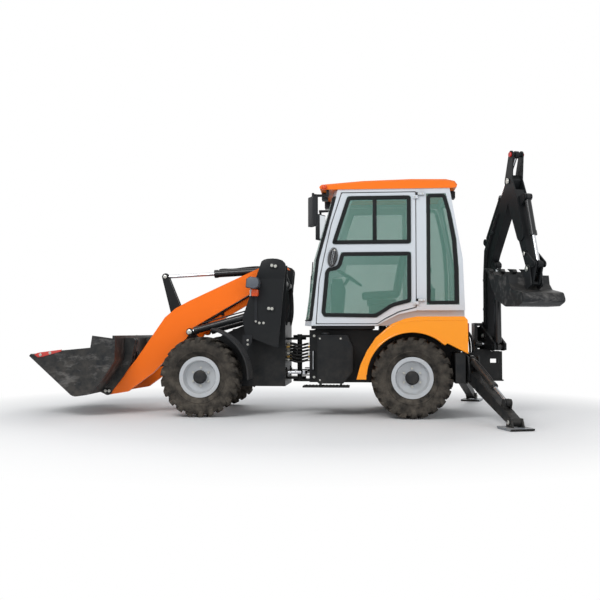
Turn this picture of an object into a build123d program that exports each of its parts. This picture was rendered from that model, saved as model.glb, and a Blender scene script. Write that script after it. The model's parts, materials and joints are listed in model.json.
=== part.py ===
from build123d import *
from math import atan2, cos, degrees, hypot, radians, sin
import os

# Backhoe loader with an articulated frame, in millimetres.
# +X runs to the rear (backhoe end), -X to the loader bucket, +Z is up, the ground is z = 0.
# -Y is the machine's left side. The origin is on the ground at the middle of its length.

# ---- driving dimensions -------------------------------------------------------------
wheelbase = 2420
track = 1450
front_axle_x = -1050
rear_axle_x = front_axle_x + wheelbase
tyre_radius = 460
tyre_width = 340
tyre_bead_radius = 212
axle_z = tyre_radius
running_gap = 0.3
pin_gap = 0.4
side_gap = 6

pivot_x = 30                 # vertical articulation pin between the two frames
plate = 20                   # thickness of the frame plates
frame_half = 400             # outer faces of both frames' side plates

# loader: side view places (x, z) of its pins with the arms down and the bucket rolled back
arm_pivot = (-205, 1750)
bucket_pin = (-2240, 272)
rocker_pin = (-1497, 1157)
rocker_top = (-1668, 1671)
lift_base = (-246, 1248)
lift_eye = (-1237, 977)
link_radius = 360            # from the bucket's hinge to its link pin
link_angle = 50
rocker_reach = 620           # from the rocker's hub to its lower pin
rocker_angle = -55
arm_inner = 430
arm_outer = 490
mast_outer = 605

# backhoe: places in its own upright plane, as (reach from the swing pin, height)
swing_x = 2290
swing_angle = 70             # turned from straight back towards the machine's left
boom_foot = (120, 930)
boom_head = (725, 2690)
dipper_tail = (785, 2985)
dipper_nose = (1120, 1660)
boom_ram_base = (330, 800)
boom_ram_eye = (318, 1760)
dipper_ram_base = (110, 2060)
curl_base = (1010, 2470)
dig_rocker_reach = 200
dig_link_length = 220
dig_crank = 160
dig_crank_angle = -80
dig_rocker_up = 180
boom_half = 50

# stabilizers: hinge place, and the direction in which a leg reaches out (seen from above)
leg_hinge = (2050, 780, 470)
leg_outward = 17             # degrees back from straight out to the side
leg_reach = 1000
leg_drop = 398
leg_half = 50
leg_ram_base = (-30, 200)
leg_ram_along = 850          # from the hinge along the leg to the ram's eye
leg_ram_off = 105            # from the leg's middle line up to the ram's eye

# steering cylinders, seen from above as (x, y) on the right
steer_z = 490
steer_base = (-520, 250)
steer_eye = (105, 260)

# cab
cab_half = 620
cab_wall = 45
cab_floor_z = 1050
cab_roof_z = 2640


def along(start, reach, angle):
    return (start[0] + reach * cos(radians(angle)), start[1] + reach * sin(radians(angle)))


def distance(a, b):
    return hypot(b[0] - a[0], b[1] - a[1])


def bearing(a, b):
    return degrees(atan2(b[1] - a[1], b[0] - a[0]))


def meet(a, reach_a, b, reach_b, side):
    """Place at reach_a from a and reach_b from b, to the left of a-b if side is 1."""
    base = distance(a, b)
    step = (reach_a**2 - reach_b**2 + base**2) / (2 * base)
    rise = side * (reach_a**2 - step**2) ** 0.5
    turn = bearing(a, b)
    return along(along(a, step, turn), rise, turn + 90)


link_pin = along(bucket_pin, link_radius, link_angle)
rocker_low = along(rocker_pin, rocker_reach, rocker_angle)
dipper_bearing = bearing(dipper_nose, boom_head)
dig_rocker_pin = along(along(dipper_nose, dig_rocker_up, dipper_bearing), 10, dipper_bearing - 90)
dig_link_pin = along(dipper_nose, dig_crank, dig_crank_angle)
leg_bearing = bearing((0, 0), (leg_reach, -leg_drop))
leg_ram_eye = along(along((0, 0), leg_ram_along, leg_bearing), leg_ram_off, leg_bearing + 90)
curl_eye = meet(dig_link_pin, dig_link_length, dig_rocker_pin, dig_rocker_reach, -1)
# ---- end of dimensions --------------------------------------------------------------

side = Plane.XZ              # local x runs along X, local y up, and the offset towards the left
swing_plane = Plane(
    origin=(swing_x, 0, 0),
    x_dir=(cos(radians(swing_angle)), -sin(radians(swing_angle)), 0),
    z_dir=(-sin(radians(swing_angle)), -cos(radians(swing_angle)), 0),
)
leg_plane = Plane(
    origin=(leg_hinge[0], -leg_hinge[1], leg_hinge[2]),
    x_dir=(sin(radians(leg_outward)), -cos(radians(leg_outward)), 0),
    z_dir=(-cos(radians(leg_outward)), -sin(radians(leg_outward)), 0),
)


def slab(plane, outline, low, high, holes=(), corner=0):
    """A flat plate of the given outline, from low to high off the plane, with round holes (u, v, r)."""
    with BuildPart() as piece:
        with BuildSketch(plane.offset(low)):
            with BuildLine():
                if corner:
                    FilletPolyline(*outline, radius=corner, close=True)
                else:
                    Polyline(*outline, close=True)
            make_face()
            for u, v, radius in holes:
                with Locations((u, v)):
                    Circle(radius, mode=Mode.SUBTRACT)
        extrude(amount=high - low)
    return piece.part


def strap(plane, ends, low, high, holes=()):
    """A plate with round ends (u, v, r), as a link or a lug."""
    with BuildPart() as piece:
        with BuildSketch(plane.offset(low)):
            for u, v, radius in ends:
                with Locations((u, v)):
                    Circle(radius)
            if len(ends) > 1:
                make_hull()
            for u, v, radius in holes:
                with Locations((u, v)):
                    Circle(radius, mode=Mode.SUBTRACT)
        extrude(amount=high - low)
    return piece.part


def round_bar(plane, place, radius, low, high, bore=0):
    """A pin, tube or boss square to the plane."""
    with BuildPart() as piece:
        with BuildSketch(plane.offset(low)):
            with Locations(place):
                Circle(radius)
                if bore:
                    Circle(bore, mode=Mode.SUBTRACT)
        extrude(amount=high - low)
    return piece.part


def block(x_range, y_range, z_range):
    """A box between two values along each axis."""
    with BuildPart() as piece:
        with BuildSketch(Plane.XY.offset(z_range[0])):
            with Locations(((x_range[0] + x_range[1]) / 2, (y_range[0] + y_range[1]) / 2)):
                Rectangle(x_range[1] - x_range[0], y_range[1] - y_range[0])
        extrude(amount=z_range[1] - z_range[0])
    return piece.part


def ram(plane, base, eye, shortest, barrel_radius, rod_radius, middle=0, width=50, pin=22, base_bore=True):
    """Barrel and rod of a hydraulic cylinder, between its base pin and its rod's eye."""
    length = distance(base, eye)
    turn = bearing(base, eye)
    start = plane.offset(middle)
    run = start.x_dir * cos(radians(turn)) + start.y_dir * sin(radians(turn))
    origin = start.from_local_coords(Vector(base[0], base[1], 0))
    gland = shortest - 50
    eye_radius = pin + 18
    rod_length = shortest - eye_radius - 30
    low, high = middle - width / 2, middle + width / 2
    with BuildPart() as barrel:
        with BuildSketch(Plane(origin=origin + run * (eye_radius - 4), z_dir=run)):
            Circle(width / 2 - 2)
        extrude(amount=16)
        with BuildSketch(Plane(origin=origin + run * (eye_radius + 10), z_dir=run)):
            Circle(barrel_radius)
        extrude(amount=gland - eye_radius - 10)
        with BuildSketch(Plane(origin=origin + run * (gland - 45), z_dir=run)):
            Circle(barrel_radius + 5)
        extrude(amount=45)
        with BuildSketch(Plane(origin=origin + run * (eye_radius + 20), z_dir=run)):
            Circle(rod_radius + running_gap)
        extrude(amount=gland, mode=Mode.SUBTRACT)
        add(round_bar(plane, base, eye_radius, low, high))
        if base_bore:
            add(round_bar(plane, base, pin + pin_gap, low, high), mode=Mode.SUBTRACT)
    with BuildPart() as rod:
        with BuildSketch(Plane(origin=origin + run * (length - rod_length), z_dir=run)):
            Circle(rod_radius)
        extrude(amount=rod_length - eye_radius + 4)
        add(round_bar(plane, eye, eye_radius, low, high))
    return barrel.part, rod.part


def keep(piece, name):
    """Labels a finished piece and writes its file."""
    piece.label = name
    export_step(piece, "parts/" + name + ".step")


def both_sides(piece):
    """A piece on the left with its mirror image on the right."""
    return [piece, piece.mirror(Plane.XZ)]


os.makedirs("parts", exist_ok=True)

# ---- wheels ---------------------------------------------------------------------------
# name, axle x, side (-1 left)
wheels = [
    ("front_left", front_axle_x, -1),
    ("front_right", front_axle_x, 1),
    ("rear_left", rear_axle_x, -1),
    ("rear_right", rear_axle_x, 1),
]
rim_flange = tyre_bead_radius + 23
disc_offset = 60             # from the wheel's middle out to its disc
disc_thickness = 14
hub_radius = 80
rim_inside = 192
tyre_lugs = 16               # on each side of the tread's middle
lug_depth = 28
tread_flat = 118             # from the tread's middle to its shoulder
side_facets = 32


def lug_ring(tip, root, start):
    """The tread's outline round the axle, with its lugs and grooves."""
    pitch = 360 / tyre_lugs
    ring = []
    for lug in range(tyre_lugs):
        for share, radius in ((0, tip), (0.5, tip), (0.6, root), (0.9, root)):
            ring.append(along((0, 0), radius, start + (lug + share) * pitch))
    return ring


half = tyre_width / 2
# radius of the lugs, radius of the grooves, distance from the tread's middle
tread_rings = [
    (tyre_radius, tyre_radius - lug_depth, 0),
    (tyre_radius, tyre_radius - lug_depth, tread_flat),
    (tyre_radius - 26, tyre_radius - lug_depth - 12, half - 8),
]
# radius, distance from the tread's middle
wall_rings = [
    (tyre_radius - 50, half - 30),
    (tyre_radius - 75, half),
]
dish_rings = [
    (tyre_bead_radius + 88, half),
    (tyre_bead_radius + 28, half - 45),
]
treads, walls, dishes = [], [], []
for hand in (-1, 1):
    with BuildPart() as tread:
        for tip, root, out in tread_rings:
            with BuildSketch(Plane.XY.offset(hand * out)):
                with BuildLine():
                    Polyline(*lug_ring(tip, root, 90 + (hand + 1) * 90 / tyre_lugs), close=True)
                make_face()
        loft(ruled=True)
    for rings, made in ((wall_rings, walls), (dish_rings, dishes)):
        with BuildPart() as ring_solid:
            for radius, out in rings:
                with BuildSketch(Plane.XY.offset(hand * out)):
                    RegularPolygon(radius, side_facets)
            loft(ruled=True)
        made.append(ring_solid.part)
    treads.append(tread.part)
with BuildPart() as tyre:
    add(treads)
    add(walls)
    add(dishes, mode=Mode.SUBTRACT)
    with BuildSketch(Plane.XY.offset(-half)):
        RegularPolygon(tyre_bead_radius, side_facets, major_radius=False)
    extrude(amount=2 * half, mode=Mode.SUBTRACT)

for wheel, wheel_x, hand in wheels:
    centre = Vector(wheel_x, hand * track / 2, axle_z)
    profile = Plane(origin=centre, x_dir=(1, 0, 0), z_dir=(0, 0, hand))
    axle_line = Axis(origin=centre, direction=(0, 1, 0))
    wheel_plane = Plane(origin=centre, x_dir=(hand, 0, 0), z_dir=(0, -1, 0))
    keep(wheel_plane * tyre.part, "tyre_" + wheel)

    with BuildPart() as rim:
        with BuildSketch(profile):
            with BuildLine():
                Polyline(
                    (rim_inside, -half + 30),
                    (rim_flange, -half + 30),
                    (rim_flange, -half + 42),
                    (tyre_bead_radius - running_gap, -half + 42),
                    (tyre_bead_radius - running_gap, half - 42),
                    (rim_flange, half - 42),
                    (rim_flange, half - 30),
                    (rim_inside, half - 30),
                    (rim_inside - 20, disc_offset),
                    (hub_radius, disc_offset - 12),
                    (hub_radius, disc_offset + 40),
                    (0, disc_offset + 40),
                    (0, disc_offset - disc_thickness - 12),
                    (rim_inside - 20, disc_offset - disc_thickness),
                    close=True,
                )
            make_face()
        revolve(axis=axle_line)
    keep(rim.part, "rim_" + wheel)

# ---- axles ----------------------------------------------------------------------------
hub_face = track / 2 + disc_offset - disc_thickness - 12 - running_gap
for name, axle_x in (("front_axle", front_axle_x), ("rear_axle", rear_axle_x)):
    with BuildPart() as axle:
        add(round_bar(side, (axle_x, axle_z), 62, -hub_face + 40, hub_face - 40))
        add(round_bar(side, (axle_x, axle_z), 128, -70, 70))
        for end in (-1, 1):
            low, high = sorted((end * (hub_face - 150), end * hub_face))
            add(round_bar(side, (axle_x, axle_z), 118, low, high))
            low, high = sorted((end * (frame_half - 60), end * (frame_half + 10)))
            pad = [(axle_x - 95, axle_z - 50), (axle_x + 95, axle_z - 50)]
            pad += [(axle_x + 95, axle_z + 90), (axle_x - 95, axle_z + 90)]
            add(slab(side, pad, low, high))
    keep(axle.part, name)

# ---- front frame and mast -----------------------------------------------------------------
pin_radius = 30
ear_radius = 80
saddle_z = axle_z + 90
mast_back = -86
front_plate = [
    (-110, 330),
    (-800, 330),
    (-900, saddle_z),
    (-1180, saddle_z),
    (-1180, 690),
    (-860, 950),
    (-600, 1060),
    (-372, 1805),
    (mast_back, 1770),
    (-110, 1250),
]
mast_plate = [
    (-215, 800),
    (-560, 935),
    (-597, 1140),
    (-372, 1805),
    (mast_back, 1770),
    (-170, 800),
]
with BuildPart() as front_chassis:
    for piece in both_sides(slab(side, front_plate, frame_half - plate, frame_half)):
        add(piece)
    for piece in both_sides(slab(side, mast_plate, mast_outer - plate, mast_outer)):
        add(piece)
    inner, outer = frame_half - plate, mast_outer - plate
    for hand in (-1, 1):
        low, high = sorted((hand * frame_half, hand * outer))
        add(block((-540, -200), (low, high), (935, 955)))
        add(block((-225, -205), (low, high), (820, 955)))
    for piece in both_sides(round_bar(side, arm_pivot, pin_radius, inner, mast_outer + 8)):
        add(piece)
    for piece in both_sides(round_bar(side, lift_base, 24, inner, mast_outer + 8)):
        add(piece)
    add(block((-880, -130), (-inner, inner), (330, 350)))
    add(block((-900, -880), (-inner, inner), (420, 860)))
    add(block((-130, -110), (-inner, inner), (330, 1100)))
    add(round_bar(side, (-150, 1560), 48, -inner, inner))
    tilt_ear = [(*arm_pivot, 46), (-150, 1560, 60)]
    for piece in both_sides(strap(side, tilt_ear, 27, 47)):
        add(piece)
    add(round_bar(side, arm_pivot, 26, -52, 52))
    for low, high in ((400, 430), (880, 910)):
        add(block((-130, pivot_x - 20), (-110, 110), (low, high)))
        add(round_bar(Plane.XY, (pivot_x, 0), ear_radius, low, high))
    add(round_bar(Plane.XY, (pivot_x, 0), pin_radius + pin_gap, 380, 930), mode=Mode.SUBTRACT)
    for hand in (-1, 1):
        low, high = sorted((hand * 170, hand * 330))
        add(block((-135, -105), (low, high), (430, 550)), mode=Mode.SUBTRACT)
        low, high = sorted((hand * (steer_base[1] - 38), hand * inner))
        for level in (steer_z - 38, steer_z + 26):
            add(block((steer_base[0] - 40, steer_base[0] + 40), (low, high), (level, level + 12)))
        add(round_bar(Plane.XY, (steer_base[0], hand * steer_base[1]), 22, steer_z - 40, steer_z + 40))
keep(front_chassis.part, "front_chassis")

# ---- front mudguards and headlamps ----------------------------------------------------------
guard_radius = tyre_radius + 95
with BuildPart() as guard_left:
    with BuildSketch(side.offset(mast_outer - plate - 5)):
        with Locations((front_axle_x, axle_z)):
            Circle(guard_radius + 20)
            Circle(guard_radius, mode=Mode.SUBTRACT)
        corner = (front_axle_x, axle_z)
        with BuildLine():
            Polyline(corner, along(corner, 900, -3), along(corner, 1100, 38), along(corner, 900, 76), close=True)
        make_face(mode=Mode.INTERSECT)
    extrude(amount=tyre_width / 2 + track / 2 - mast_outer + plate + 5)
    bracket = [(-600, 770), (-560, 730), (-480, 860), (-480, 940), (-590, 940)]
    add(slab(side, bracket, mast_outer + running_gap, mast_outer + 14))
with BuildPart() as front_fenders:
    for piece in both_sides(guard_left.part):
        add(piece)
keep(front_fenders.part, "front_fenders")

lamp_post = [(-452, 1080), (-418, 1080), (-418, 1500), (-452, 1500)]
lamp_hood = [(-536, 1494), (-528, 1592), (-486, 1618), (-400, 1606), (-378, 1560), (-392, 1500), (-440, 1478)]
lamp_dish = [(-540, 1500), (-510, 1496), (-502, 1594), (-532, 1590)]
indicator = [(-478, 1396), (-404, 1396), (-400, 1470), (-474, 1478)]
with BuildPart() as headlamps:
    lamp_y = mast_outer + running_gap
    for piece in both_sides(slab(side, lamp_post, lamp_y, lamp_y + 14)):
        add(piece)
    for piece in both_sides(slab(side, lamp_hood, lamp_y, lamp_y + 150)):
        add(piece)
    for piece in both_sides(slab(side, lamp_dish, lamp_y + 12, lamp_y + 138)):
        add(piece, mode=Mode.SUBTRACT)
    for piece in both_sides(slab(side, indicator, lamp_y, lamp_y + 86)):
        add(piece)
keep(headlamps.part, "headlamps")

# ---- loader arms ------------------------------------------------------------------------------
arm_outline = [
    (-150, 1740),
    (-230, 1820),
    (-330, 1775),
    (-1250, 1352),
    (-1420, 1262),
    (-1555, 1150),
    (-1900, 650),
    (-2060, 455),
    (-2290, 290),
    (-2240, 222),
    (-2000, 262),
    (-1690, 490),
    (-1290, 905),
    (-1190, 1040),
    (-520, 1430),
    (-210, 1675),
]
with BuildPart() as loader_arms:
    arm = slab(side, arm_outline, arm_inner, arm_outer, [(*arm_pivot, pin_radius + pin_gap)], corner=28)
    for piece in both_sides(arm):
        add(piece)
    bore_edge = pin_radius + pin_gap
    for piece in both_sides(round_bar(side, arm_pivot, 74, arm_inner - 20, arm_outer + 20, bore_edge)):
        add(piece)
    for piece in both_sides(round_bar(side, arm_pivot, bore_edge, arm_inner - 20, arm_outer + 20)):
        add(piece, mode=Mode.SUBTRACT)
    for piece in both_sides(round_bar(side, lift_eye, 36, arm_outer - 10, arm_outer + 3)):
        add(piece)
    cross_tube = along(rocker_pin, 200, -9)
    add(round_bar(side, cross_tube, 50, -arm_outer + 10, arm_outer - 10))
    hub_ear = [(*rocker_pin, 52), (*cross_tube, 58)]
    for piece in both_sides(strap(side, hub_ear, 52, 72)):
        add(piece)
    add(round_bar(side, rocker_pin, 26, -80, 80))
    for piece in both_sides(round_bar(side, bucket_pin, 27, arm_inner - 34, arm_outer + 34)):
        add(piece)
keep(loader_arms.part, "loader_arms")

with BuildPart() as rocker:
    upper = [(*rocker_top, 40), (*rocker_pin, 78)]
    lower = [(*rocker_pin, 78), (*rocker_low, 42)]
    for ends in (upper, lower):
        for piece in both_sides(strap(side, ends, 26, 46)):
            add(piece)
    add(round_bar(side, rocker_pin, 50, -46, 46))
    add(round_bar(side, rocker_pin, 26 + pin_gap, -50, 50), mode=Mode.SUBTRACT)
    for place in (rocker_top, rocker_low):
        for piece in both_sides(round_bar(side, place, 22, 26, 54)):
            add(piece)
keep(rocker.part, "rocker")

with BuildPart() as bucket_link:
    add(strap(side, [(*link_pin, 40), (*rocker_low, 40)], -20, 20, [(*link_pin, 22 + pin_gap)]))
keep(bucket_link.part, "bucket_link")

# ---- loader bucket ----------------------------------------------------------------------------
bucket_half = 900
shell = 16
bucket_lip = (-3045, 711)
bucket_heel = (-2523, 242)
bucket_floor_rear = (-2350, 266)
bucket_back_low = (-2215, 400)
bucket_back_high = (-2050, 900)
cheek = [
    bucket_lip,
    (-2860, 566),
    bucket_heel,
    bucket_floor_rear,
    bucket_back_low,
    (-2052, 647),
    bucket_back_high,
    (-2304, 935),
    (-2325, 795),
    (-2679, 762),
]
with BuildPart() as loader_bucket:
    with BuildSketch(side.offset(-bucket_half)):
        with BuildLine():
            FilletPolyline(
                bucket_lip,
                bucket_heel,
                bucket_floor_rear,
                bucket_back_low,
                (-2052, 647),
                bucket_back_high,
                radius=(90, 60, 60, 90),
            )
        trace(line_width=2 * shell)
    extrude(amount=2 * bucket_half)
    for piece in both_sides(slab(side, cheek, bucket_half - plate, bucket_half)):
        add(piece)
    add(block((-2064, -2036), (-bucket_half, bucket_half), (860, 935)))
    rib = [
        along(bucket_pin, 50, 250),
        along(bucket_pin, 48, 300),
        (-2060, 430),
        (-1975, 560),
        (-1950, 640),
        (-1900, 880),
        (-1930, 905),
        (-2050, 905),
        (-2052, 647),
        bucket_back_low,
        bucket_floor_rear,
    ]
    hinge_hole = [(*bucket_pin, 27 + pin_gap)]
    boss = [(*bucket_pin, 52), (-2215, 360, 50)]
    for low in (arm_inner - 28, arm_outer + 8):
        for piece in both_sides(slab(side, rib, low, low + 20, hinge_hole)):
            add(piece)
        for piece in both_sides(strap(side, boss, low, low + 20, hinge_hole)):
            add(piece)
        for piece in both_sides(round_bar(side, bucket_pin, 27 + pin_gap, low, low + 20)):
            add(piece, mode=Mode.SUBTRACT)
    link_ear = [(*link_pin, 46), (-2075, 700, 60), (-2130, 500, 60)]
    for piece in both_sides(strap(side, link_ear, 28, 46)):
        add(piece)
    for piece in both_sides(round_bar(side, link_pin, 22, 20, 54)):
        add(piece)
    add(round_bar(side, link_pin, 22, -24, 24))
keep(loader_bucket.part, "loader_bucket")

# ---- loader and steering cylinders --------------------------------------------------------------
# name, plane, base, eye, shortest length, barrel radius, rod radius, offset, eye width, pin radius
lift_middle = arm_outer + 4 + side_gap / 2 + 27
loader_rams = [
    ("tilt", side, arm_pivot, rocker_top, 890, 46, 22, 0, 40, 26),
    ("lift", side, lift_base, lift_eye, 1022, 42, 24, lift_middle, 50, 24),
]
for name, plane, base, eye, shortest, barrel_radius, rod_radius, middle, width, pin in loader_rams:
    barrel, rod = ram(plane, base, eye, shortest, barrel_radius, rod_radius, middle, width, pin)
    if middle:
        with BuildPart() as barrels:
            for piece in both_sides(barrel):
                add(piece)
        with BuildPart() as rods:
            for piece in both_sides(rod):
                add(piece)
        keep(barrels.part, name + "_barrels")
        keep(rods.part, name + "_rods")
    else:
        keep(barrel, name + "_barrel")
        keep(rod, name + "_rod")
steer_plane = Plane.XY.offset(steer_z)
barrel, rod = ram(steer_plane, steer_base, steer_eye, 480, 34, 20, 0, 40, 22)
keep(barrel, "steer_barrel_right")
keep(rod, "steer_rod_right")
keep(barrel.mirror(Plane.XZ), "steer_barrel_left")
keep(rod.mirror(Plane.XZ), "steer_rod_left")

# ---- rear frame -------------------------------------------------------------------------------
frame_front = 180
frame_top = 1000
box_front, box_rear = 1850, 1960
box_half = 850
rear_plate = [
    (frame_front, 380),
    (rear_axle_x - 145, 380),
    (rear_axle_x - 145, saddle_z),
    (rear_axle_x + 145, saddle_z),
    (rear_axle_x + 145, 400),
    (box_rear, 400),
    (box_rear, 900),
    (1700, frame_top),
    (frame_front, frame_top),
]
with BuildPart() as rear_chassis:
    inner = frame_half - plate
    for piece in both_sides(slab(side, rear_plate, inner, frame_half)):
        add(piece)
    add(block((frame_front, frame_front + plate), (-frame_half, frame_half), (380, frame_top)))
    add(block((frame_front, rear_axle_x - 150), (-inner, inner), (380, 396)))
    add(block((rear_axle_x + 150, box_rear), (-inner, inner), (400, 416)))
    add(block((box_front, box_rear), (-box_half, box_half), (400, 740)))
    for low, high in ((370, 400 - running_gap), (910 + running_gap, 940)):
        add(block((pivot_x + 20, frame_front + 10), (-90, 90), (low, high)))
        add(round_bar(Plane.XY, (pivot_x, 0), ear_radius, low, high))
    add(round_bar(Plane.XY, (pivot_x, 0), pin_radius, 370, 950))
    for hand in (-1, 1):
        low, high = sorted((hand * (steer_eye[1] - 36), hand * (steer_eye[1] + 36)))
        for level in (steer_z - 38, steer_z + 26):
            add(block((steer_eye[0] - 30, frame_front + 10), (low, high), (level, level + 12)))
    for mount_x in (300, 1050):
        for hand in (-1, 1):
            with BuildSketch(Plane.XY.offset(frame_top)):
                with Locations((mount_x, hand * (frame_half - 40))):
                    Circle(38)
            extrude(amount=cab_floor_z - frame_top)
            low, high = sorted((hand * (frame_half - 80), hand * frame_half))
            add(block((mount_x - 45, mount_x + 45), (low, high), (frame_top - 20, frame_top)))
    cheek_outline = [(-100, -70), (-20, -75), (60, -30), (60, 40), (20, 235), (-100, 235)]
    for low in (-leg_half - side_gap - 16, leg_half + side_gap):
        for piece in both_sides(slab(leg_plane, cheek_outline, low, low + 16)):
            add(piece)
    web = [(-112, -70), (-96, -70), (-96, 235), (-112, 235)]
    for piece in both_sides(slab(leg_plane, web, -leg_half - side_gap - 16, leg_half + side_gap + 60)):
        add(piece)
    for place in ((0, 0), leg_ram_base):
        pin_edge = leg_half + side_gap + 22
        radius = pin_radius if place == (0, 0) else 22
        for piece in both_sides(round_bar(leg_plane, place, radius, -pin_edge, pin_edge)):
            add(piece)
keep(rear_chassis.part, "rear_chassis")

with BuildPart() as engine_block:
    add(block((340, 960), (-250, 250), (396, 880)))
keep(engine_block.part, "engine_block")

with BuildPart() as tank_left:
    tank = [(290, 380), (590, 380), (700, 520), (700, 800), (640, 940), (290, 940)]
    add(slab(side, tank, frame_half, 660, corner=25))
    tread = [(120, 335), (660, 335), (660, 352), (120, 352)]
    add(slab(side, tread, 440, 690))
    for bracket_x in (310, 550):
        add(block((bracket_x, bracket_x + 20), (-640, -frame_half), (345, 385)))
with BuildPart() as side_tanks:
    for piece in both_sides(tank_left.part):
        add(piece)
keep(side_tanks.part, "side_tanks")

# ---- rear mudguards ---------------------------------------------------------------------------
recess_inner = track / 2 - tyre_width / 2 - 10     # the cab's half width over the rear wheels
floor_thickness = 40
arch_radius = tyre_radius + 55
guard_outline = [
    (745, 443),
    (790, 605),
    (862, 760),
    (965, 915),
    (1145, 1068),
    (1285, 1125),
    (1420, 1150),
    (1945, 1150),
    (1982, 1110),
    (1985, 900),
    (1985, 735),
    (1760, 850),
    (rear_axle_x, 600),
    (900, 443),
]
with BuildPart() as guard_left:
    with BuildSketch(side.offset(recess_inner + running_gap)):
        with BuildLine():
            Polyline(*guard_outline, close=True)
        make_face()
        with Locations((rear_axle_x, axle_z)):
            Circle(arch_radius, mode=Mode.SUBTRACT)
    extrude(amount=track / 2 + tyre_width / 2 + 10 - recess_inner - running_gap)
with BuildPart() as rear_fenders:
    for piece in both_sides(guard_left.part):
        add(piece)
keep(rear_fenders.part, "rear_fenders")

# ---- cab --------------------------------------------------------------------------------------
# height, front of the bulging windscreen, how far back its corners are, rear face
cab_sections = [
    (cab_floor_z, 131, 85, 1994),
    (1823, 238, 60, 1965),
    (cab_roof_z, 480, 50, 1820),
]
screen_half = cab_half - 140


def cab_body(inset):
    """The cab's outer form, or one that lies inset mm inside it."""
    with BuildPart() as body:
        for height, front, shoulder, rear in cab_sections:
            x0, x1 = front + inset, rear - inset
            wide, narrow = cab_half - inset, screen_half - 0.4 * inset
            with BuildSketch(Plane.XY.offset(height)):
                with BuildLine():
                    Polyline(
                        (x0, -narrow),
                        (x0 + shoulder, -wide),
                        (x1, -wide),
                        (x1, wide),
                        (x0 + shoulder, wide),
                        (x0, narrow),
                        close=True,
                    )
                make_face()
        loft(ruled=True)
    return body.part


door_gap = 7
sill = 1073
door_outline = [(275, sill), (311, 1570), (368, 1850), (454, 2236), (575, 2600)]
door_outline += [(1430, 2600), (1430, 1266), (1236, 1214), (1069, 1130), (985, sill)]
opening = [(275 - door_gap, sill - door_gap), (311 - door_gap, 1570), (368 - door_gap, 1850)]
opening += [(454 - door_gap, 2236), (575 - door_gap, 2600 + door_gap), (1430 + door_gap, 2600 + door_gap)]
opening += [(1430 + door_gap, 1264 - door_gap), (1236, 1210 - door_gap), (1069, 1126 - door_gap)]
opening += [(985, sill - door_gap)]
recess = [(965, 1000), (965, 1045), (1064, 1098), (1228, 1180), (1440, 1225), (2050, 1225), (2050, 1000)]
recess_inside = [(920, 1000), (920, 1090), (1050, 1143), (1215, 1225), (1430, 1270), (2050, 1270), (2050, 1000)]
screen_line = [(-200, 1110), (226, 1110), (308, 1823), (509, 2560), (-200, 2560)]
side_glass = [(1550, 2580), (1775, 2580), (1840, 2340), (1895, 2048), (1920, 1699), (1925, 1290), (1550, 1290)]
rear_glass_z = (1330, 2570)

with BuildPart() as cavity:
    add(cab_body(cab_wall))
    add(block((-100, 2300), (-800, 800), (1000, cab_floor_z + floor_thickness)), mode=Mode.SUBTRACT)
    for piece in both_sides(slab(side, recess_inside, recess_inner - cab_wall, cab_half + 180)):
        add(piece, mode=Mode.SUBTRACT)

with BuildPart() as cab_shell:
    add(cab_body(0))
    for piece in both_sides(slab(side, recess, recess_inner, cab_half + 180)):
        add(piece, mode=Mode.SUBTRACT)
    add(cavity.part, mode=Mode.SUBTRACT)
    add(slab(side, screen_line, -cab_half - 80, cab_half + 80), mode=Mode.SUBTRACT)
    for outline in (opening, side_glass):
        for piece in both_sides(slab(side, outline, recess_inner, cab_half + 80)):
            add(piece, mode=Mode.SUBTRACT)
    add(block((1700, 2100), (-screen_half, screen_half), rear_glass_z), mode=Mode.SUBTRACT)
keep(cab_shell.part, "cab_shell")

screen_pane = [(-200, 1110.3), (225.7, 1110.3), (307.7, 1823), (508.7, 2559.7), (-200, 2559.7)]
rear_pane = (rear_glass_z[0] + running_gap, rear_glass_z[1] - running_gap)
side_pane = [(1551, 2579), (1774, 2579), (1839, 2340), (1894, 2048), (1919, 1699), (1924, 1291), (1551, 1291)]
with BuildPart() as zones:
    add(slab(side, screen_pane, -cab_half - 80, cab_half + 80))
    add(block((1700, 2100), (-screen_half + running_gap, screen_half - running_gap), rear_pane))

with BuildPart() as cab_glass:
    add(cab_body(1))
    add(cab_body(8), mode=Mode.SUBTRACT)
    add(zones.part, mode=Mode.INTERSECT)
    for piece in both_sides(slab(side, side_pane, cab_half - 12, cab_half - 6)):
        add(piece)
keep(cab_glass.part, "cab_glass")

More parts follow.
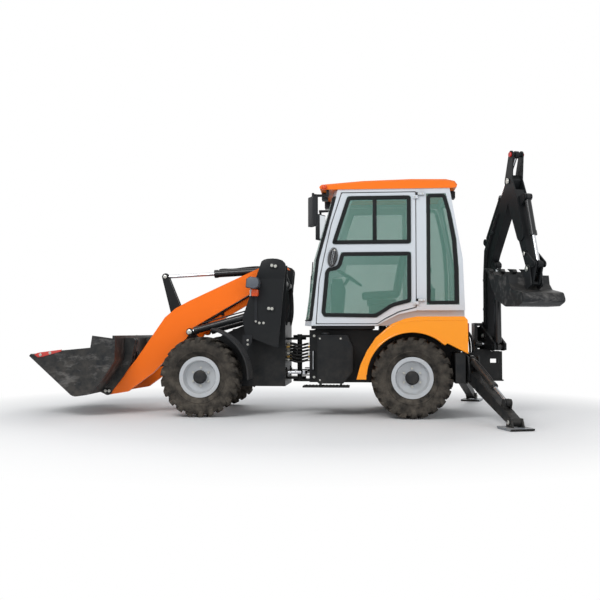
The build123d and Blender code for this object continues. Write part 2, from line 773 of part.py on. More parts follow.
# ---- doors ------------------------------------------------------------------------------------
hinge_x, hinge_y = 1447, cab_half + 18
hinge_levels = (1290, 2520)
knuckle = 12
handle_place = (468, 1845)
handle_tilt = -10
upper_window = [(695, 2510), (1325, 2510), (1325, 2045), (540, 2045)]
lower_window = [(600, 1860), (560, 1700), (440, 1690), (425, 1640), (385, 1240), (400, 1200)]
lower_window += [(960, 1192), (1140, 1310), (1325, 1365), (1325, 1860)]
upper_pane = [(640, 2560), (1375, 2560), (1375, 1998), (455, 1998)]
lower_pane = [(565, 1905), (520, 1730), (415, 1716), (380, 1668), (335, 1200), (365, 1152)]
lower_pane += [(975, 1142), (1165, 1268), (1375, 1320), (1375, 1905)]
with BuildPart() as door:
    add(slab(side, door_outline, cab_half - 42, cab_half))
    add(slab(side, upper_window, 0, cab_half + 80, corner=20), mode=Mode.SUBTRACT)
    add(slab(side, lower_window, 0, cab_half + 80, corner=12), mode=Mode.SUBTRACT)
    for level in hinge_levels:
        add(block((1395, hinge_x), (-hinge_y - 6, -cab_half), (level, level + 38)))
        add(round_bar(Plane.XY, (hinge_x, -hinge_y), knuckle, level, level + 38))
        add(round_bar(Plane.XY, (hinge_x, -hinge_y), 5 + pin_gap, level, level + 38), mode=Mode.SUBTRACT)
    with BuildSketch(side.offset(cab_half)):
        with Locations(handle_place):
            Ellipse(58, 118, rotation=handle_tilt)
    extrude(amount=14)
    with BuildSketch(side.offset(cab_half + 14)):
        with Locations(handle_place):
            Ellipse(44, 104, rotation=handle_tilt)
            Ellipse(30, 90, rotation=handle_tilt, mode=Mode.SUBTRACT)
            Rectangle(20, 190, rotation=handle_tilt)
    extrude(amount=20)
keep(door.part, "door_left")
keep(door.part.mirror(Plane.XZ), "door_right")
with BuildPart() as door_glass:
    add(slab(side, upper_pane, cab_half + 0.3, cab_half + 6, corner=25))
    add(slab(side, lower_pane, cab_half + 0.3, cab_half + 6, corner=15))
keep(door_glass.part, "door_left_glass")
keep(door_glass.part.mirror(Plane.XZ), "door_right_glass")

# ---- cab roof, seat, controls and fittings --------------------------------------------------------
roof_outline = [(322, 2650), (312, 2672), (340, 2702), (820, 2738), (1379, 2752), (1780, 2745), (1880, 2722)]
roof_outline += [(1909, 2680), (1900, 2650), (1860, cab_roof_z), (400, cab_roof_z)]
with BuildPart() as cab_roof:
    add(slab(side, roof_outline, -cab_half - 15, cab_half + 15))
    top_edges = cab_roof.edges().filter_by(Axis.Y, reverse=True).filter_by(lambda e: e.center().Z > 2700)
    chamfer(top_edges, 22)
keep(cab_roof.part, "cab_roof")

with BuildPart() as seat:
    add(slab(side, [(790, 1420), (800, 1480), (1180, 1470), (1260, 1400), (1240, 1360), (800, 1360)], -240, 240))
    add(slab(side, [(1175, 1465), (1300, 1960), (1390, 1950), (1290, 1400), (1235, 1380)], -230, 230))
    add(block((880, 1180), (-200, 200), (1090, 1360)))
keep(seat.part, "seat")

with BuildPart() as controls:
    column = [(430, 1090), (560, 1090), (600, 1500), (560, 1620), (420, 1560)]
    add(slab(side, column, -140, 140))
    shaft_plane = Plane(origin=(585, 0, 1560), z_dir=(0.55, 0, 0.835))
    with BuildSketch(shaft_plane):
        Circle(22)
    extrude(amount=112)
    with BuildSketch(shaft_plane.offset(95)):
        Circle(185)
        Circle(160, mode=Mode.SUBTRACT)
        Rectangle(340, 26)
        Circle(40)
    extrude(amount=22)
    for hand in (-1, 1):
        low, high = sorted((hand * 130, hand * 230))
        add(block((1560, 1680), (low, high), (1090, 1500)))
        with BuildSketch(Plane.XY.offset(1500)):
            with Locations((1620, hand * 180)):
                Circle(11)
        extrude(amount=190)
        with BuildSketch(Plane.XY.offset(1690)):
            with Locations((1620, hand * 180)):
                Circle(24)
        extrude(amount=60)
keep(controls.part, "controls")

mirror_y = cab_half + 100
with BuildPart() as cab_fittings:
    for level in hinge_levels:
        for hand in (-1, 1):
            low, high = sorted((hand * cab_half, hand * (hinge_y + 6)))
            add(block((hinge_x, 1530), (low, high), (level + 38.3, level + 72)))
            add(round_bar(Plane.XY, (hinge_x, hand * hinge_y), knuckle, level + 38.3, level + 72))
            add(round_bar(Plane.XY, (hinge_x, hand * hinge_y), 5, level - 4, level + 60))
    for hand in (-1, 1):
        low, high = sorted((hand * (cab_half - 24), hand * (cab_half + 2)))
        add(block((232, 426), (low, high), (2560, 2586)))
        add(block((400, 426), (low, high), (2560, cab_roof_z - running_gap)))
        low, high = sorted((hand * (cab_half - 24), hand * (mirror_y + 13)))
        add(block((232, 258), (low, high), (2560, 2586)))
        low, high = sorted((hand * (mirror_y - 13), hand * (mirror_y + 13)))
        add(block((232, 258), (low, high), (2500, 2570)))
        with BuildSketch(Plane.XY.offset(2200)):
            with Locations((245, hand * mirror_y)):
                Rectangle(58, 170, rotation=-25 * hand)
        extrude(amount=340)
        low, high = sorted((hand * 250, hand * 400))
        add(block((340, 400), (low, high), (2560, 2640 - running_gap)))
        add(block((1840, 1895), (low, high), (2560, 2640 - running_gap)))
keep(cab_fittings.part, "cab_fittings")

# ---- backhoe frame, carriage and swing post -----------------------------------------------------
rail_x = 2110
rail_top = 700
flange_front, flange_rear = rail_x - 45, rail_x + 45
rail_half = 620
with BuildPart() as backhoe_frame:
    add(round_bar(side, (rail_x, rail_top - 35), 35, -rail_half - 12, rail_half + 12))
    add(block((flange_front, flange_rear), (-rail_half, rail_half), (420, 440)))
    add(block((rail_x - 10, rail_x + 10), (-rail_half, rail_half), (440, rail_top - 40)))
    for hand in (-1, 1):
        low, high = sorted((hand * (rail_half - 20), hand * rail_half))
        add(block((flange_front - 5, flange_rear + 5), (low, high), (408, rail_top - 20)))
        low, high = sorted((hand * (rail_half - 50), hand * (rail_half - 20)))
        add(block((box_rear, rail_x), (low, high), (430, rail_top - 40)))
keep(backhoe_frame.part, "backhoe_frame")

carriage_half = 200
ear_low, ear_high = 735, 1050
swing_gap = running_gap
hook_front, hook_rear = flange_front - 5 - side_gap, flange_rear + 5 + side_gap
hook_thickness = 22
hook_bottom = 396
bracket_rear = swing_x + 190
with BuildPart() as carriage:
    top = rail_top + running_gap
    front, rear = hook_front - hook_thickness, hook_rear + hook_thickness
    add(block((front, rear), (-carriage_half, carriage_half), (top, top + 30)))
    add(block((front, hook_front), (-carriage_half, carriage_half), (hook_bottom, top + 10)))
    add(block((hook_rear, rear), (-carriage_half, carriage_half), (hook_bottom, top + 10)))
    for low, high in ((front, rail_x - 20), (rail_x + 20, rear)):
        add(block((low, high), (-carriage_half, carriage_half), (hook_bottom, 420 - running_gap)))
    for hand in (-1, 1):
        low, high = sorted((hand * 92, hand * 112))
        add(block((hook_rear, bracket_rear), (low, high), (hook_bottom, ear_low + 10)))
        add(block((rear + 150, bracket_rear - 40), (low, high), (600, 655)), mode=Mode.SUBTRACT)
    add(block((hook_rear, bracket_rear + 12), (-135, 135), (hook_bottom - 6, hook_bottom + 10)))
    add(block((bracket_rear - 14, bracket_rear), (-112, 112), (hook_bottom, 560)))
    add(block((hook_rear, swing_x + 55), (-112, 112), (ear_low, ear_low + 35)))
    add(block((hook_rear - 15, hook_rear + 20), (-140, 140), (top, ear_high + 35)))
    add(block((hook_rear, swing_x), (-55, 55), (ear_high, ear_high + 35)))
    add(round_bar(Plane.XY, (swing_x, 0), 55, ear_high, ear_high + 35))
    add(round_bar(Plane.XY, (swing_x, 0), pin_radius, ear_low, ear_high + 50))
keep(carriage.part, "carriage")

cheek_inner, cheek_outer = boom_half + side_gap, boom_half + side_gap + 24
with BuildPart() as swing_post:
    add(round_bar(Plane.XY, (swing_x, 0), 60, ear_low + 35 + swing_gap, ear_high - swing_gap))
    cheek_outline = [(-42, 780), (-42, 1040), (70, 1042), (165, 990), (385, 840), (385, 765), (320, 755), (60, 778)]
    for low in (-cheek_outer, cheek_inner):
        add(slab(swing_plane, cheek_outline, low, low + 24))
    add(round_bar(swing_plane, boom_foot, 28, -cheek_outer - 14, cheek_outer + 14))
    add(round_bar(swing_plane, boom_ram_base, 22, -cheek_outer - 10, cheek_outer + 10))
    add(round_bar(Plane.XY, (swing_x, 0), pin_radius + pin_gap, 700, 1100), mode=Mode.SUBTRACT)
keep(swing_post.part, "swing_post")

# ---- boom, dipper and digging bucket --------------------------------------------------------------
boom_outline = [
    (66, 900),
    (70, 1650),
    (100, 1960),
    (430, 2410),
    (668, 2735),
    (745, 2765),
    (800, 2700),
    (625, 2330),
    (318, 1880),
    (190, 1640),
    (175, 900),
]
with BuildPart() as boom:
    add(slab(swing_plane, boom_outline, -boom_half, boom_half, corner=20))
    add(round_bar(swing_plane, boom_foot, 52, -boom_half, boom_half))
    for low in (-45, 29):
        add(strap(swing_plane, [(*boom_ram_eye, 38), (225, 1800, 55)], low, low + 16))
        add(strap(swing_plane, [(*dipper_ram_base, 38), (178, 2010, 38)], low, low + 16))
    add(round_bar(swing_plane, dipper_ram_base, 22, -50, 50))
    add(round_bar(swing_plane, boom_foot, 28 + pin_gap, -60, 60), mode=Mode.SUBTRACT)
    add(round_bar(swing_plane, boom_head, 28 + pin_gap, -60, 60), mode=Mode.SUBTRACT)
keep(boom.part, "boom")

dipper_length = distance(boom_head, dipper_nose)
dipper_outward = dipper_bearing - 90
quarter = along(boom_head, dipper_length * 0.27, dipper_bearing + 180)
root = along(boom_head, 150, dipper_bearing + 180)
tail_inner = boom_half + side_gap
with BuildPart() as dipper:
    for low in (-tail_inner - 15, tail_inner):
        add(strap(swing_plane, [(*dipper_tail, 45), (*boom_head, 82)], low, low + 15))
        add(strap(swing_plane, [(*boom_head, 82), (*quarter, 98)], low, low + 15))
        add(strap(swing_plane, [(*quarter, 98), (*along(dipper_nose, 420, dipper_bearing), 72)], low, low + 15))
    body = [
        along(root, 80, dipper_outward),
        along(quarter, 97, dipper_outward),
        along(dipper_nose, 46, dipper_outward),
        along(dipper_nose, 46, dipper_outward + 180),
        along(quarter, 97, dipper_outward + 180),
        along(root, 42, dipper_outward + 180),
    ]
    add(slab(swing_plane, body, -tail_inner, tail_inner))
    add(round_bar(swing_plane, dipper_nose, 46, -tail_inner, tail_inner))
    for low in (-45, 29):
        ear_foot = along(curl_base, 150, dipper_outward + 180)
        add(strap(swing_plane, [(*curl_base, 38), (*ear_foot, 70)], low, low + 16))
    add(round_bar(swing_plane, curl_base, 22, -50, 50))
    add(round_bar(swing_plane, boom_head, 28, -tail_inner - 26, tail_inner + 26))
    for low in (-tail_inner - 22, 30):
        add(round_bar(swing_plane, dipper_tail, 24, low, low + tail_inner - 8))
    add(round_bar(swing_plane, dig_rocker_pin, 20, -tail_inner - 30, tail_inner + 30))
    add(round_bar(swing_plane, dipper_nose, 24 + pin_gap, -90, 90), mode=Mode.SUBTRACT)
keep(dipper.part, "dipper")

with BuildPart() as dig_rocker:
    for low in (-tail_inner - 20, tail_inner + 6):
        ends = [(*dig_rocker_pin, 36), (*curl_eye, 36)]
        add(strap(swing_plane, ends, low, low + 14, [(*dig_rocker_pin, 20 + pin_gap)]))
    for low, high in ((-tail_inner - 26, -28), (28, tail_inner + 26)):
        add(round_bar(swing_plane, curl_eye, 20, low, high))
keep(dig_rocker.part, "dig_rocker")

with BuildPart() as dig_link:
    for low in (-50, 30):
        ends = [(*curl_eye, 28), (*dig_link_pin, 28)]
        add(strap(swing_plane, ends, low, low + 20, [(*curl_eye, 20 + pin_gap)]))
    add(round_bar(swing_plane, dig_link_pin, 22, -50, 50))
keep(dig_link.part, "dig_link")

dig_half = 250
tooth_tip = (470, 1712)
dig_shell = [
    (560, 1668),
    (640, 1500),
    (760, 1345),
    (960, 1262),
    (1230, 1262),
    (1340, 1310),
    (1300, 1390),
    (1090, 1432),
    (1030, 1500),
    (1015, 1600),
]
dig_cheek = dig_shell + [(860, 1600)]
with BuildPart() as dig_bucket:
    with BuildSketch(swing_plane.offset(-dig_half)):
        with BuildLine():
            FilletPolyline(*dig_shell, radius=(60, 80, 120, 50, 30, 30, 40, 40))
        trace(line_width=18)
    extrude(amount=2 * dig_half)
    for low in (-dig_half, dig_half - 14):
        add(slab(swing_plane, dig_cheek, low, low + 14))
    ear = [(*dipper_nose, 48), (*dig_link_pin, 44), (1070, 1450, 24), (1040, 1580, 24)]
    for low in (-tail_inner - 22, tail_inner + 6):
        add(strap(swing_plane, ear, low, low + 16))
    add(round_bar(swing_plane, dipper_nose, 24, -tail_inner - 30, tail_inner + 30))
    for n in (-225, -75, 75, 225):
        tooth = [(tooth_tip[0], tooth_tip[1]), (575, 1640), (612, 1668), (590, 1700)]
        add(slab(swing_plane, tooth, n - 25, n + 25))
keep(dig_bucket.part, "dig_bucket")

# ---- backhoe cylinders --------------------------------------------------------------------------
# name, base, eye, shortest length, barrel radius, rod radius
backhoe_rams = [
    ("boom", boom_ram_base, boom_ram_eye, 610, 42, 24),
    ("dipper", dipper_ram_base, dipper_tail, 662, 40, 22),
    ("curl", curl_base, curl_eye, 505, 36, 20),
]
for name, base, eye, shortest, barrel_radius, rod_radius in backhoe_rams:
    barrel, rod = ram(swing_plane, base, eye, shortest, barrel_radius, rod_radius, 0, 44, 22)
    keep(barrel, name + "_barrel")
    keep(rod, name + "_rod")

# ---- stabilizer legs ------------------------------------------------------------------------------
leg_foot = (leg_reach, -leg_drop)
pad_bottom = -leg_hinge[2]
with BuildPart() as leg:
    add(strap(leg_plane, [(0, 0, 62), (*along((0, 0), 300, leg_bearing), 66)], -leg_half, leg_half))
    near = along((0, 0), 300, leg_bearing)
    add(strap(leg_plane, [(*near, 66), (*along((0, 0), 940, leg_bearing), 48)], -leg_half, leg_half))
    add(strap(leg_plane, [(*along((0, 0), 900, leg_bearing), 48), (*leg_foot, 42)], -leg_half, leg_half))
    ear_foot = along((0, 0), leg_ram_along, leg_bearing)
    for low in (-42, 26):
        add(strap(leg_plane, [(*leg_ram_eye, 38), (*ear_foot, 44)], low, low + 16))
    pad = [(leg_reach - 130, pad_bottom), (leg_reach + 150, pad_bottom), (leg_reach + 165, pad_bottom + 22)]
    pad += [(leg_reach - 145, pad_bottom + 22)]
    add(slab(leg_plane, pad, -130, 130))
    for low in (-leg_half - 18, leg_half):
        lug = [(leg_reach - 70, pad_bottom + 10), (leg_reach + 80, pad_bottom + 10), (leg_reach + 40, -leg_drop + 40)]
        lug += [(leg_reach - 40, -leg_drop + 40)]
        add(slab(leg_plane, lug, low, low + 18))
    add(round_bar(leg_plane, leg_foot, 20, -leg_half - 26, leg_half + 26))
    add(round_bar(leg_plane, (0, 0), pin_radius + pin_gap, -90, 90), mode=Mode.SUBTRACT)
keep(leg.part, "leg_left")
keep(leg.part.mirror(Plane.XZ), "leg_right")
barrel, rod = ram(leg_plane, leg_ram_base, leg_ram_eye, 680, 38, 22, 0, 40, 22)
for hand, barrel_piece, rod_piece in (
    ("left", barrel, rod),
    ("right", barrel.mirror(Plane.XZ), rod.mirror(Plane.XZ)),
):
    keep(barrel_piece, "leg_barrel_" + hand)
    keep(rod_piece, "leg_rod_" + hand)
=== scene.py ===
import bpy
import json
from math import atan2, cos, hypot, pi, radians, sin
from mathutils import Matrix, Vector


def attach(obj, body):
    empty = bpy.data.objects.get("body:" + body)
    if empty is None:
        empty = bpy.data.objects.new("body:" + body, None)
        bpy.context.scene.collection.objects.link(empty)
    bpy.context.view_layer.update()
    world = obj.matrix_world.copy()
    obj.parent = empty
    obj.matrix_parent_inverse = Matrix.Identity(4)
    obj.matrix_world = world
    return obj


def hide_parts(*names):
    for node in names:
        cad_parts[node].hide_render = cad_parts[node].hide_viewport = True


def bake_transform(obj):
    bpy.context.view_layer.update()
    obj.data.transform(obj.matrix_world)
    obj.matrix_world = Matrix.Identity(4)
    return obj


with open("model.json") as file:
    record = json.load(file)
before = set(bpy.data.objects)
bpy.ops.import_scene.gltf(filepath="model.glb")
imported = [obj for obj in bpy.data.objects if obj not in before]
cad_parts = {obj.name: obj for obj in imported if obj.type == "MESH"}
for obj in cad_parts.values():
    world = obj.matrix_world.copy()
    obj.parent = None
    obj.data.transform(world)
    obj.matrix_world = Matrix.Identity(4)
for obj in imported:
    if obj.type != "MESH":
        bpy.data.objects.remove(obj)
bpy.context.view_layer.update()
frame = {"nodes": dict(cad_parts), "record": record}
joints = {j["name"]: j for j in frame["record"]["behaviour"]["joints"]}
print("frame loaded,", len(frame["nodes"]), "nodes")


# ---------- shader groups ----------
def startGroup(name, inputs, outputs):
    group = bpy.data.node_groups.new(name, "ShaderNodeTree")
    for label, kind, value in inputs:
        socket = group.interface.new_socket(name=label, in_out="INPUT", socket_type=kind)
        socket.default_value = value
    for label, kind in outputs:
        group.interface.new_socket(name=label, in_out="OUTPUT", socket_type=kind)
    return group, group.nodes.new("NodeGroupInput"), group.nodes.new("NodeGroupOutput")


def addNode(tree, kind, **values):
    node = tree.nodes.new(kind)
    for key, value in values.items():
        if hasattr(node, key):
            setattr(node, key, value)
        else:
            node.inputs[key].default_value = value
    return node


# paint, rubber and steel all gather dust: more of it low down and on upward faces
dustGroup, dustIn, dustOut = startGroup(
    "dustFilm",
    [
        ("Color", "NodeSocketColor", (0.5, 0.5, 0.5, 1)),
        ("Dust", "NodeSocketColor", (0.36, 0.31, 0.25, 1)),
        ("Amount", "NodeSocketFloat", 0.3),
        ("Height", "NodeSocketFloat", 0.9),
        ("Roughness", "NodeSocketFloat", 0.4),
        ("Scale", "NodeSocketFloat", 9.0),
    ],
    [("Color", "NodeSocketColor"), ("Roughness", "NodeSocketFloat"), ("Bump", "NodeSocketFloat")],
)
tree = dustGroup
place = addNode(tree, "ShaderNodeTexCoord")
split = addNode(tree, "ShaderNodeSeparateXYZ")
tree.links.new(place.outputs["Object"], split.inputs[0])
fall = addNode(tree, "ShaderNodeMath", operation="DIVIDE")
tree.links.new(split.outputs["Z"], fall.inputs[0])
tree.links.new(dustIn.outputs["Height"], fall.inputs[1])
lowDown = addNode(tree, "ShaderNodeMath", operation="SUBTRACT", use_clamp=True)
lowDown.inputs[0].default_value = 1.0
tree.links.new(fall.outputs[0], lowDown.inputs[1])
cloud = addNode(tree, "ShaderNodeTexNoise", Detail=6.0, Roughness=0.62)
tree.links.new(place.outputs["Object"], cloud.inputs["Vector"])
tree.links.new(dustIn.outputs["Scale"], cloud.inputs["Scale"])
patch = addNode(tree, "ShaderNodeMapRange")
patch.inputs["From Min"].default_value = 0.35
patch.inputs["From Max"].default_value = 0.75
tree.links.new(cloud.outputs["Fac"], patch.inputs["Value"])
normal = addNode(tree, "ShaderNodeNewGeometry")
up = addNode(tree, "ShaderNodeSeparateXYZ")
tree.links.new(normal.outputs["Normal"], up.inputs[0])
top = addNode(tree, "ShaderNodeMath", operation="MULTIPLY", use_clamp=True)
top.inputs[1].default_value = 0.5
tree.links.new(up.outputs["Z"], top.inputs[0])
both = addNode(tree, "ShaderNodeMath", operation="ADD")
tree.links.new(lowDown.outputs[0], both.inputs[0])
tree.links.new(top.outputs[0], both.inputs[1])
spread = addNode(tree, "ShaderNodeMath", operation="MULTIPLY")
tree.links.new(both.outputs[0], spread.inputs[0])
tree.links.new(patch.outputs["Result"], spread.inputs[1])
film = addNode(tree, "ShaderNodeMath", operation="MULTIPLY", use_clamp=True)
tree.links.new(spread.outputs[0], film.inputs[0])
tree.links.new(dustIn.outputs["Amount"], film.inputs[1])
mix = addNode(tree, "ShaderNodeMix", data_type="RGBA")
tree.links.new(film.outputs[0], mix.inputs["Factor"])
tree.links.new(dustIn.outputs["Color"], mix.inputs["A"])
tree.links.new(dustIn.outputs["Dust"], mix.inputs["B"])
tree.links.new(mix.outputs["Result"], dustOut.inputs["Color"])
dull = addNode(tree, "ShaderNodeMath", operation="MULTIPLY_ADD", use_clamp=True)
dull.inputs[1].default_value = 0.5
tree.links.new(film.outputs[0], dull.inputs[0])
tree.links.new(dustIn.outputs["Roughness"], dull.inputs[2])
tree.links.new(dull.outputs[0], dustOut.inputs["Roughness"])
tree.links.new(cloud.outputs["Fac"], dustOut.inputs["Bump"])

# fine grain of cast, moulded and rubber surfaces
grainGroup, grainIn, grainOut = startGroup(
    "surfaceGrain",
    [("Scale", "NodeSocketFloat", 300.0), ("Strength", "NodeSocketFloat", 0.2), ("Distance", "NodeSocketFloat", 0.001)],
    [("Normal", "NodeSocketVector"), ("Height", "NodeSocketFloat")],
)
tree = grainGroup
place = addNode(tree, "ShaderNodeTexCoord")
speck = addNode(tree, "ShaderNodeTexNoise", Detail=3.0, Roughness=0.6)
tree.links.new(place.outputs["Object"], speck.inputs["Vector"])
tree.links.new(grainIn.outputs["Scale"], speck.inputs["Scale"])
bump = addNode(tree, "ShaderNodeBump")
tree.links.new(speck.outputs["Fac"], bump.inputs["Height"])
tree.links.new(grainIn.outputs["Strength"], bump.inputs["Strength"])
tree.links.new(grainIn.outputs["Distance"], bump.inputs["Distance"])
tree.links.new(bump.outputs["Normal"], grainOut.inputs["Normal"])
tree.links.new(speck.outputs["Fac"], grainOut.inputs["Height"])

# scuffs where earth or a shoe rubs the paint down to steel
scuffGroup, scuffIn, scuffOut = startGroup(
    "rubbedSteel",
    [
        ("Color", "NodeSocketColor", (0.05, 0.05, 0.05, 1)),
        ("Steel", "NodeSocketColor", (0.3, 0.29, 0.28, 1)),
        ("Amount", "NodeSocketFloat", 0.5),
        ("Scale", "NodeSocketFloat", 6.0),
    ],
    [("Color", "NodeSocketColor"), ("Metallic", "NodeSocketFloat")],
)
tree = scuffGroup
place = addNode(tree, "ShaderNodeTexCoord")
stretch = addNode(tree, "ShaderNodeMapping")
stretch.inputs["Scale"].default_value = (0.6, 2.6, 1.4)
tree.links.new(place.outputs["Object"], stretch.inputs["Vector"])
scratch = addNode(tree, "ShaderNodeTexNoise", Detail=8.0, Roughness=0.7)
tree.links.new(stretch.outputs["Vector"], scratch.inputs["Vector"])
tree.links.new(scuffIn.outputs["Scale"], scratch.inputs["Scale"])
cutoff = addNode(tree, "ShaderNodeMapRange")
cutoff.inputs["From Min"].default_value = 0.52
cutoff.inputs["From Max"].default_value = 0.66
tree.links.new(scratch.outputs["Fac"], cutoff.inputs["Value"])
share = addNode(tree, "ShaderNodeMath", operation="MULTIPLY", use_clamp=True)
tree.links.new(cutoff.outputs["Result"], share.inputs[0])
tree.links.new(scuffIn.outputs["Amount"], share.inputs[1])
mix = addNode(tree, "ShaderNodeMix", data_type="RGBA")
tree.links.new(share.outputs[0], mix.inputs["Factor"])
tree.links.new(scuffIn.outputs["Color"], mix.inputs["A"])
tree.links.new(scuffIn.outputs["Steel"], mix.inputs["B"])
tree.links.new(mix.outputs["Result"], scuffOut.inputs["Color"])
tree.links.new(share.outputs[0], scuffOut.inputs["Metallic"])


# ---------- materials ----------
def linear(red, green, blue):
    shades = []
    for value in (red, green, blue):
        value = value / 255
        shades.append(value / 12.92 if value <= 0.04045 else ((value + 0.055) / 1.055) ** 2.4)
    return (*shades, 1)


# how strongly the paints and rubbers mirror the bright studio
dullness = {"frameBlack": 0.16, "sealBlack": 0.15, "hoseRubber": 0.2, "plasticBlack": 0.2, "tyreRubber": 0.15, "barrelBlack": 0.3}
dullness.update({"bucketBlack": 0.22, "armOrange": 0.25, "fenderOrange": 0.3, "roofOrange": 0.25, "castIron": 0.3})

# color, roughness, metallic, coat, dust amount, dust height, grain scale, grain strength, rubbed steel
finishes = {
    "armOrange": (linear(255, 116, 10), 0.36, 0.0, 0.12, 0.12, 0.7, 900, 0.03, 0),
    "fenderOrange": (linear(255, 154, 18), 0.28, 0.0, 0.3, 0.10, 0.7, 900, 0.02, 0),
    "roofOrange": (linear(250, 120, 20), 0.4, 0.0, 0.1, 0.15, 0.7, 900, 0.03, 0),
    "frameBlack": (linear(27, 29, 31), 0.42, 0.0, 0.04, 0.10, 1.1, 700, 0.06, 0),
    "cabSilver": (linear(206, 212, 218), 0.35, 0.0, 0.3, 0.12, 1.2, 900, 0.02, 0),
    "rimSilver": (linear(184, 188, 192), 0.42, 0.0, 0.2, 0.35, 1.0, 800, 0.05, 0),
    "castIron": (linear(44, 44, 46), 0.6, 0.2, 0.0, 0.5, 0.9, 350, 0.25, 0),
    "barrelBlack": (linear(27, 29, 31), 0.3, 0.0, 0.15, 0.15, 1.2, 700, 0.03, 0),
    "bucketBlack": (linear(33, 35, 37), 0.44, 0.0, 0.04, 0.24, 1.2, 500, 0.08, 0.35),
    "plasticBlack": (linear(33, 35, 38), 0.5, 0.0, 0.0, 0.18, 1.0, 420, 0.2, 0),
    "sealBlack": (linear(26, 28, 29), 0.5, 0.0, 0.0, 0.1, 1.0, 500, 0.1, 0),
    "tyreRubber": (linear(38, 36, 34), 0.8, 0.0, 0.0, 0.34, 1.6, 160, 0.35, 0),
    "cutterRed": (linear(196, 44, 34), 0.42, 0.0, 0.3, 0.3, 1.0, 600, 0.05, 0.25),
    "capRed": (linear(190, 34, 30), 0.45, 0.0, 0.2, 0.1, 1.0, 600, 0.05, 0),
    "padBlue": (linear(104, 116, 128), 0.5, 0.1, 0.1, 0.5, 1.0, 400, 0.1, 0.5),
    "handleBlack": (linear(24, 25, 27), 0.22, 0.0, 0.6, 0.05, 1.0, 600, 0.04, 0),
    "hoodGrey": (linear(84, 89, 98), 0.45, 0.0, 0.1, 0.2, 1.0, 500, 0.12, 0),
    "cutterSteel": (linear(120, 116, 112), 0.38, 0.75, 0.0, 0.25, 1.0, 500, 0.15, 0.4),
    "fittingBrass": (linear(196, 160, 84), 0.35, 0.8, 0.0, 0.1, 1.0, 700, 0.05, 0),
    "hoseRubber": (linear(30, 31, 33), 0.48, 0.0, 0.0, 0.15, 1.0, 600, 0.2, 0),
    "boltZinc": (linear(196, 196, 190), 0.32, 0.85, 0.0, 0.1, 1.0, 700, 0.05, 0),
    "seatVinyl": (linear(44, 46, 48), 0.55, 0.0, 0.0, 0.1, 1.0, 500, 0.25, 0),
}
materials = {}
for finish, (color, rough, metal, coat, dust, height, grain, strength, rubbed) in finishes.items():
    material = bpy.data.materials.new(finish)
    material.use_nodes = True
    tree = material.node_tree
    shader = tree.nodes["Principled BSDF"]
    shader.inputs["Metallic"].default_value = metal
    shader.inputs["Coat Weight"].default_value = coat
    shader.inputs["Coat Roughness"].default_value = 0.12
    shader.inputs["Specular IOR Level"].default_value = dullness.get(finish, 0.5)
    film = addNode(tree, "ShaderNodeGroup", node_tree=dustGroup)
    film.inputs["Color"].default_value = color
    film.inputs["Amount"].default_value = dust
    film.inputs["Height"].default_value = height
    film.inputs["Roughness"].default_value = rough
    grains = addNode(tree, "ShaderNodeGroup", node_tree=grainGroup)
    grains.inputs["Scale"].default_value = grain
    grains.inputs["Strength"].default_value = strength
    tree.links.new(grains.outputs["Normal"], shader.inputs["Normal"])
    if rubbed:
        scuffs = addNode(tree, "ShaderNodeGroup", node_tree=scuffGroup)
        scuffs.inputs["Color"].default_value = color
        scuffs.inputs["Amount"].default_value = rubbed
        tree.links.new(scuffs.outputs["Color"], film.inputs["Color"])
        tree.links.new(scuffs.outputs["Metallic"], shader.inputs["Metallic"])
    tree.links.new(film.outputs["Color"], shader.inputs["Base Color"])
    tree.links.new(film.outputs["Roughness"], shader.inputs["Roughness"])
    materials[finish] = material

# color, roughness, metallic, transmission, emission
clearFinishes = {
    "rodChrome": (linear(206, 208, 212), 0.12, 1.0, 0.0, 0.0),
    "mirrorFace": (linear(215, 220, 224), 0.05, 1.0, 0.0, 0.0),
    "lampSilver": (linear(228, 232, 236), 0.12, 0.9, 0.0, 0.0),
    "lensClear": (linear(240, 244, 248), 0.08, 0.0, 0.6, 0.0),
    "lensAmber": (linear(232, 84, 20), 0.16, 0.0, 0.25, 0.06),
    "lensRed": (linear(180, 22, 18), 0.16, 0.0, 0.25, 0.04),
}
for finish, (color, rough, metal, passing, glow) in clearFinishes.items():
    material = bpy.data.materials.new(finish)
    material.use_nodes = True
    tree = material.node_tree
    shader = tree.nodes["Principled BSDF"]
    shader.inputs["Metallic"].default_value = metal
    shader.inputs["Transmission Weight"].default_value = passing
    shader.inputs["Emission Color"].default_value = color
    shader.inputs["Emission Strength"].default_value = glow
    film = addNode(tree, "ShaderNodeGroup", node_tree=dustGroup)
    film.inputs["Color"].default_value = color
    film.inputs["Amount"].default_value = 0.05
    film.inputs["Roughness"].default_value = rough
    tree.links.new(film.outputs["Color"], shader.inputs["Base Color"])
    tree.links.new(film.outputs["Roughness"], shader.inputs["Roughness"])
    materials[finish] = material

glass = bpy.data.materials.new("tintedGlass")
glass.use_nodes = True
tree = glass.node_tree
shader = tree.nodes["Principled BSDF"]
shader.inputs["Roughness"].default_value = 0.04
shader.inputs["Alpha"].default_value = 0.42
film = addNode(tree, "ShaderNodeGroup", node_tree=dustGroup)
film.inputs["Color"].default_value = linear(104, 152, 138)
film.inputs["Amount"].default_value = 0.08
film.inputs["Height"].default_value = 2.4
film.inputs["Roughness"].default_value = 0.04
tree.links.new(film.outputs["Color"], shader.inputs["Base Color"])
materials["tintedGlass"] = glass
print("materials made:", len(materials))

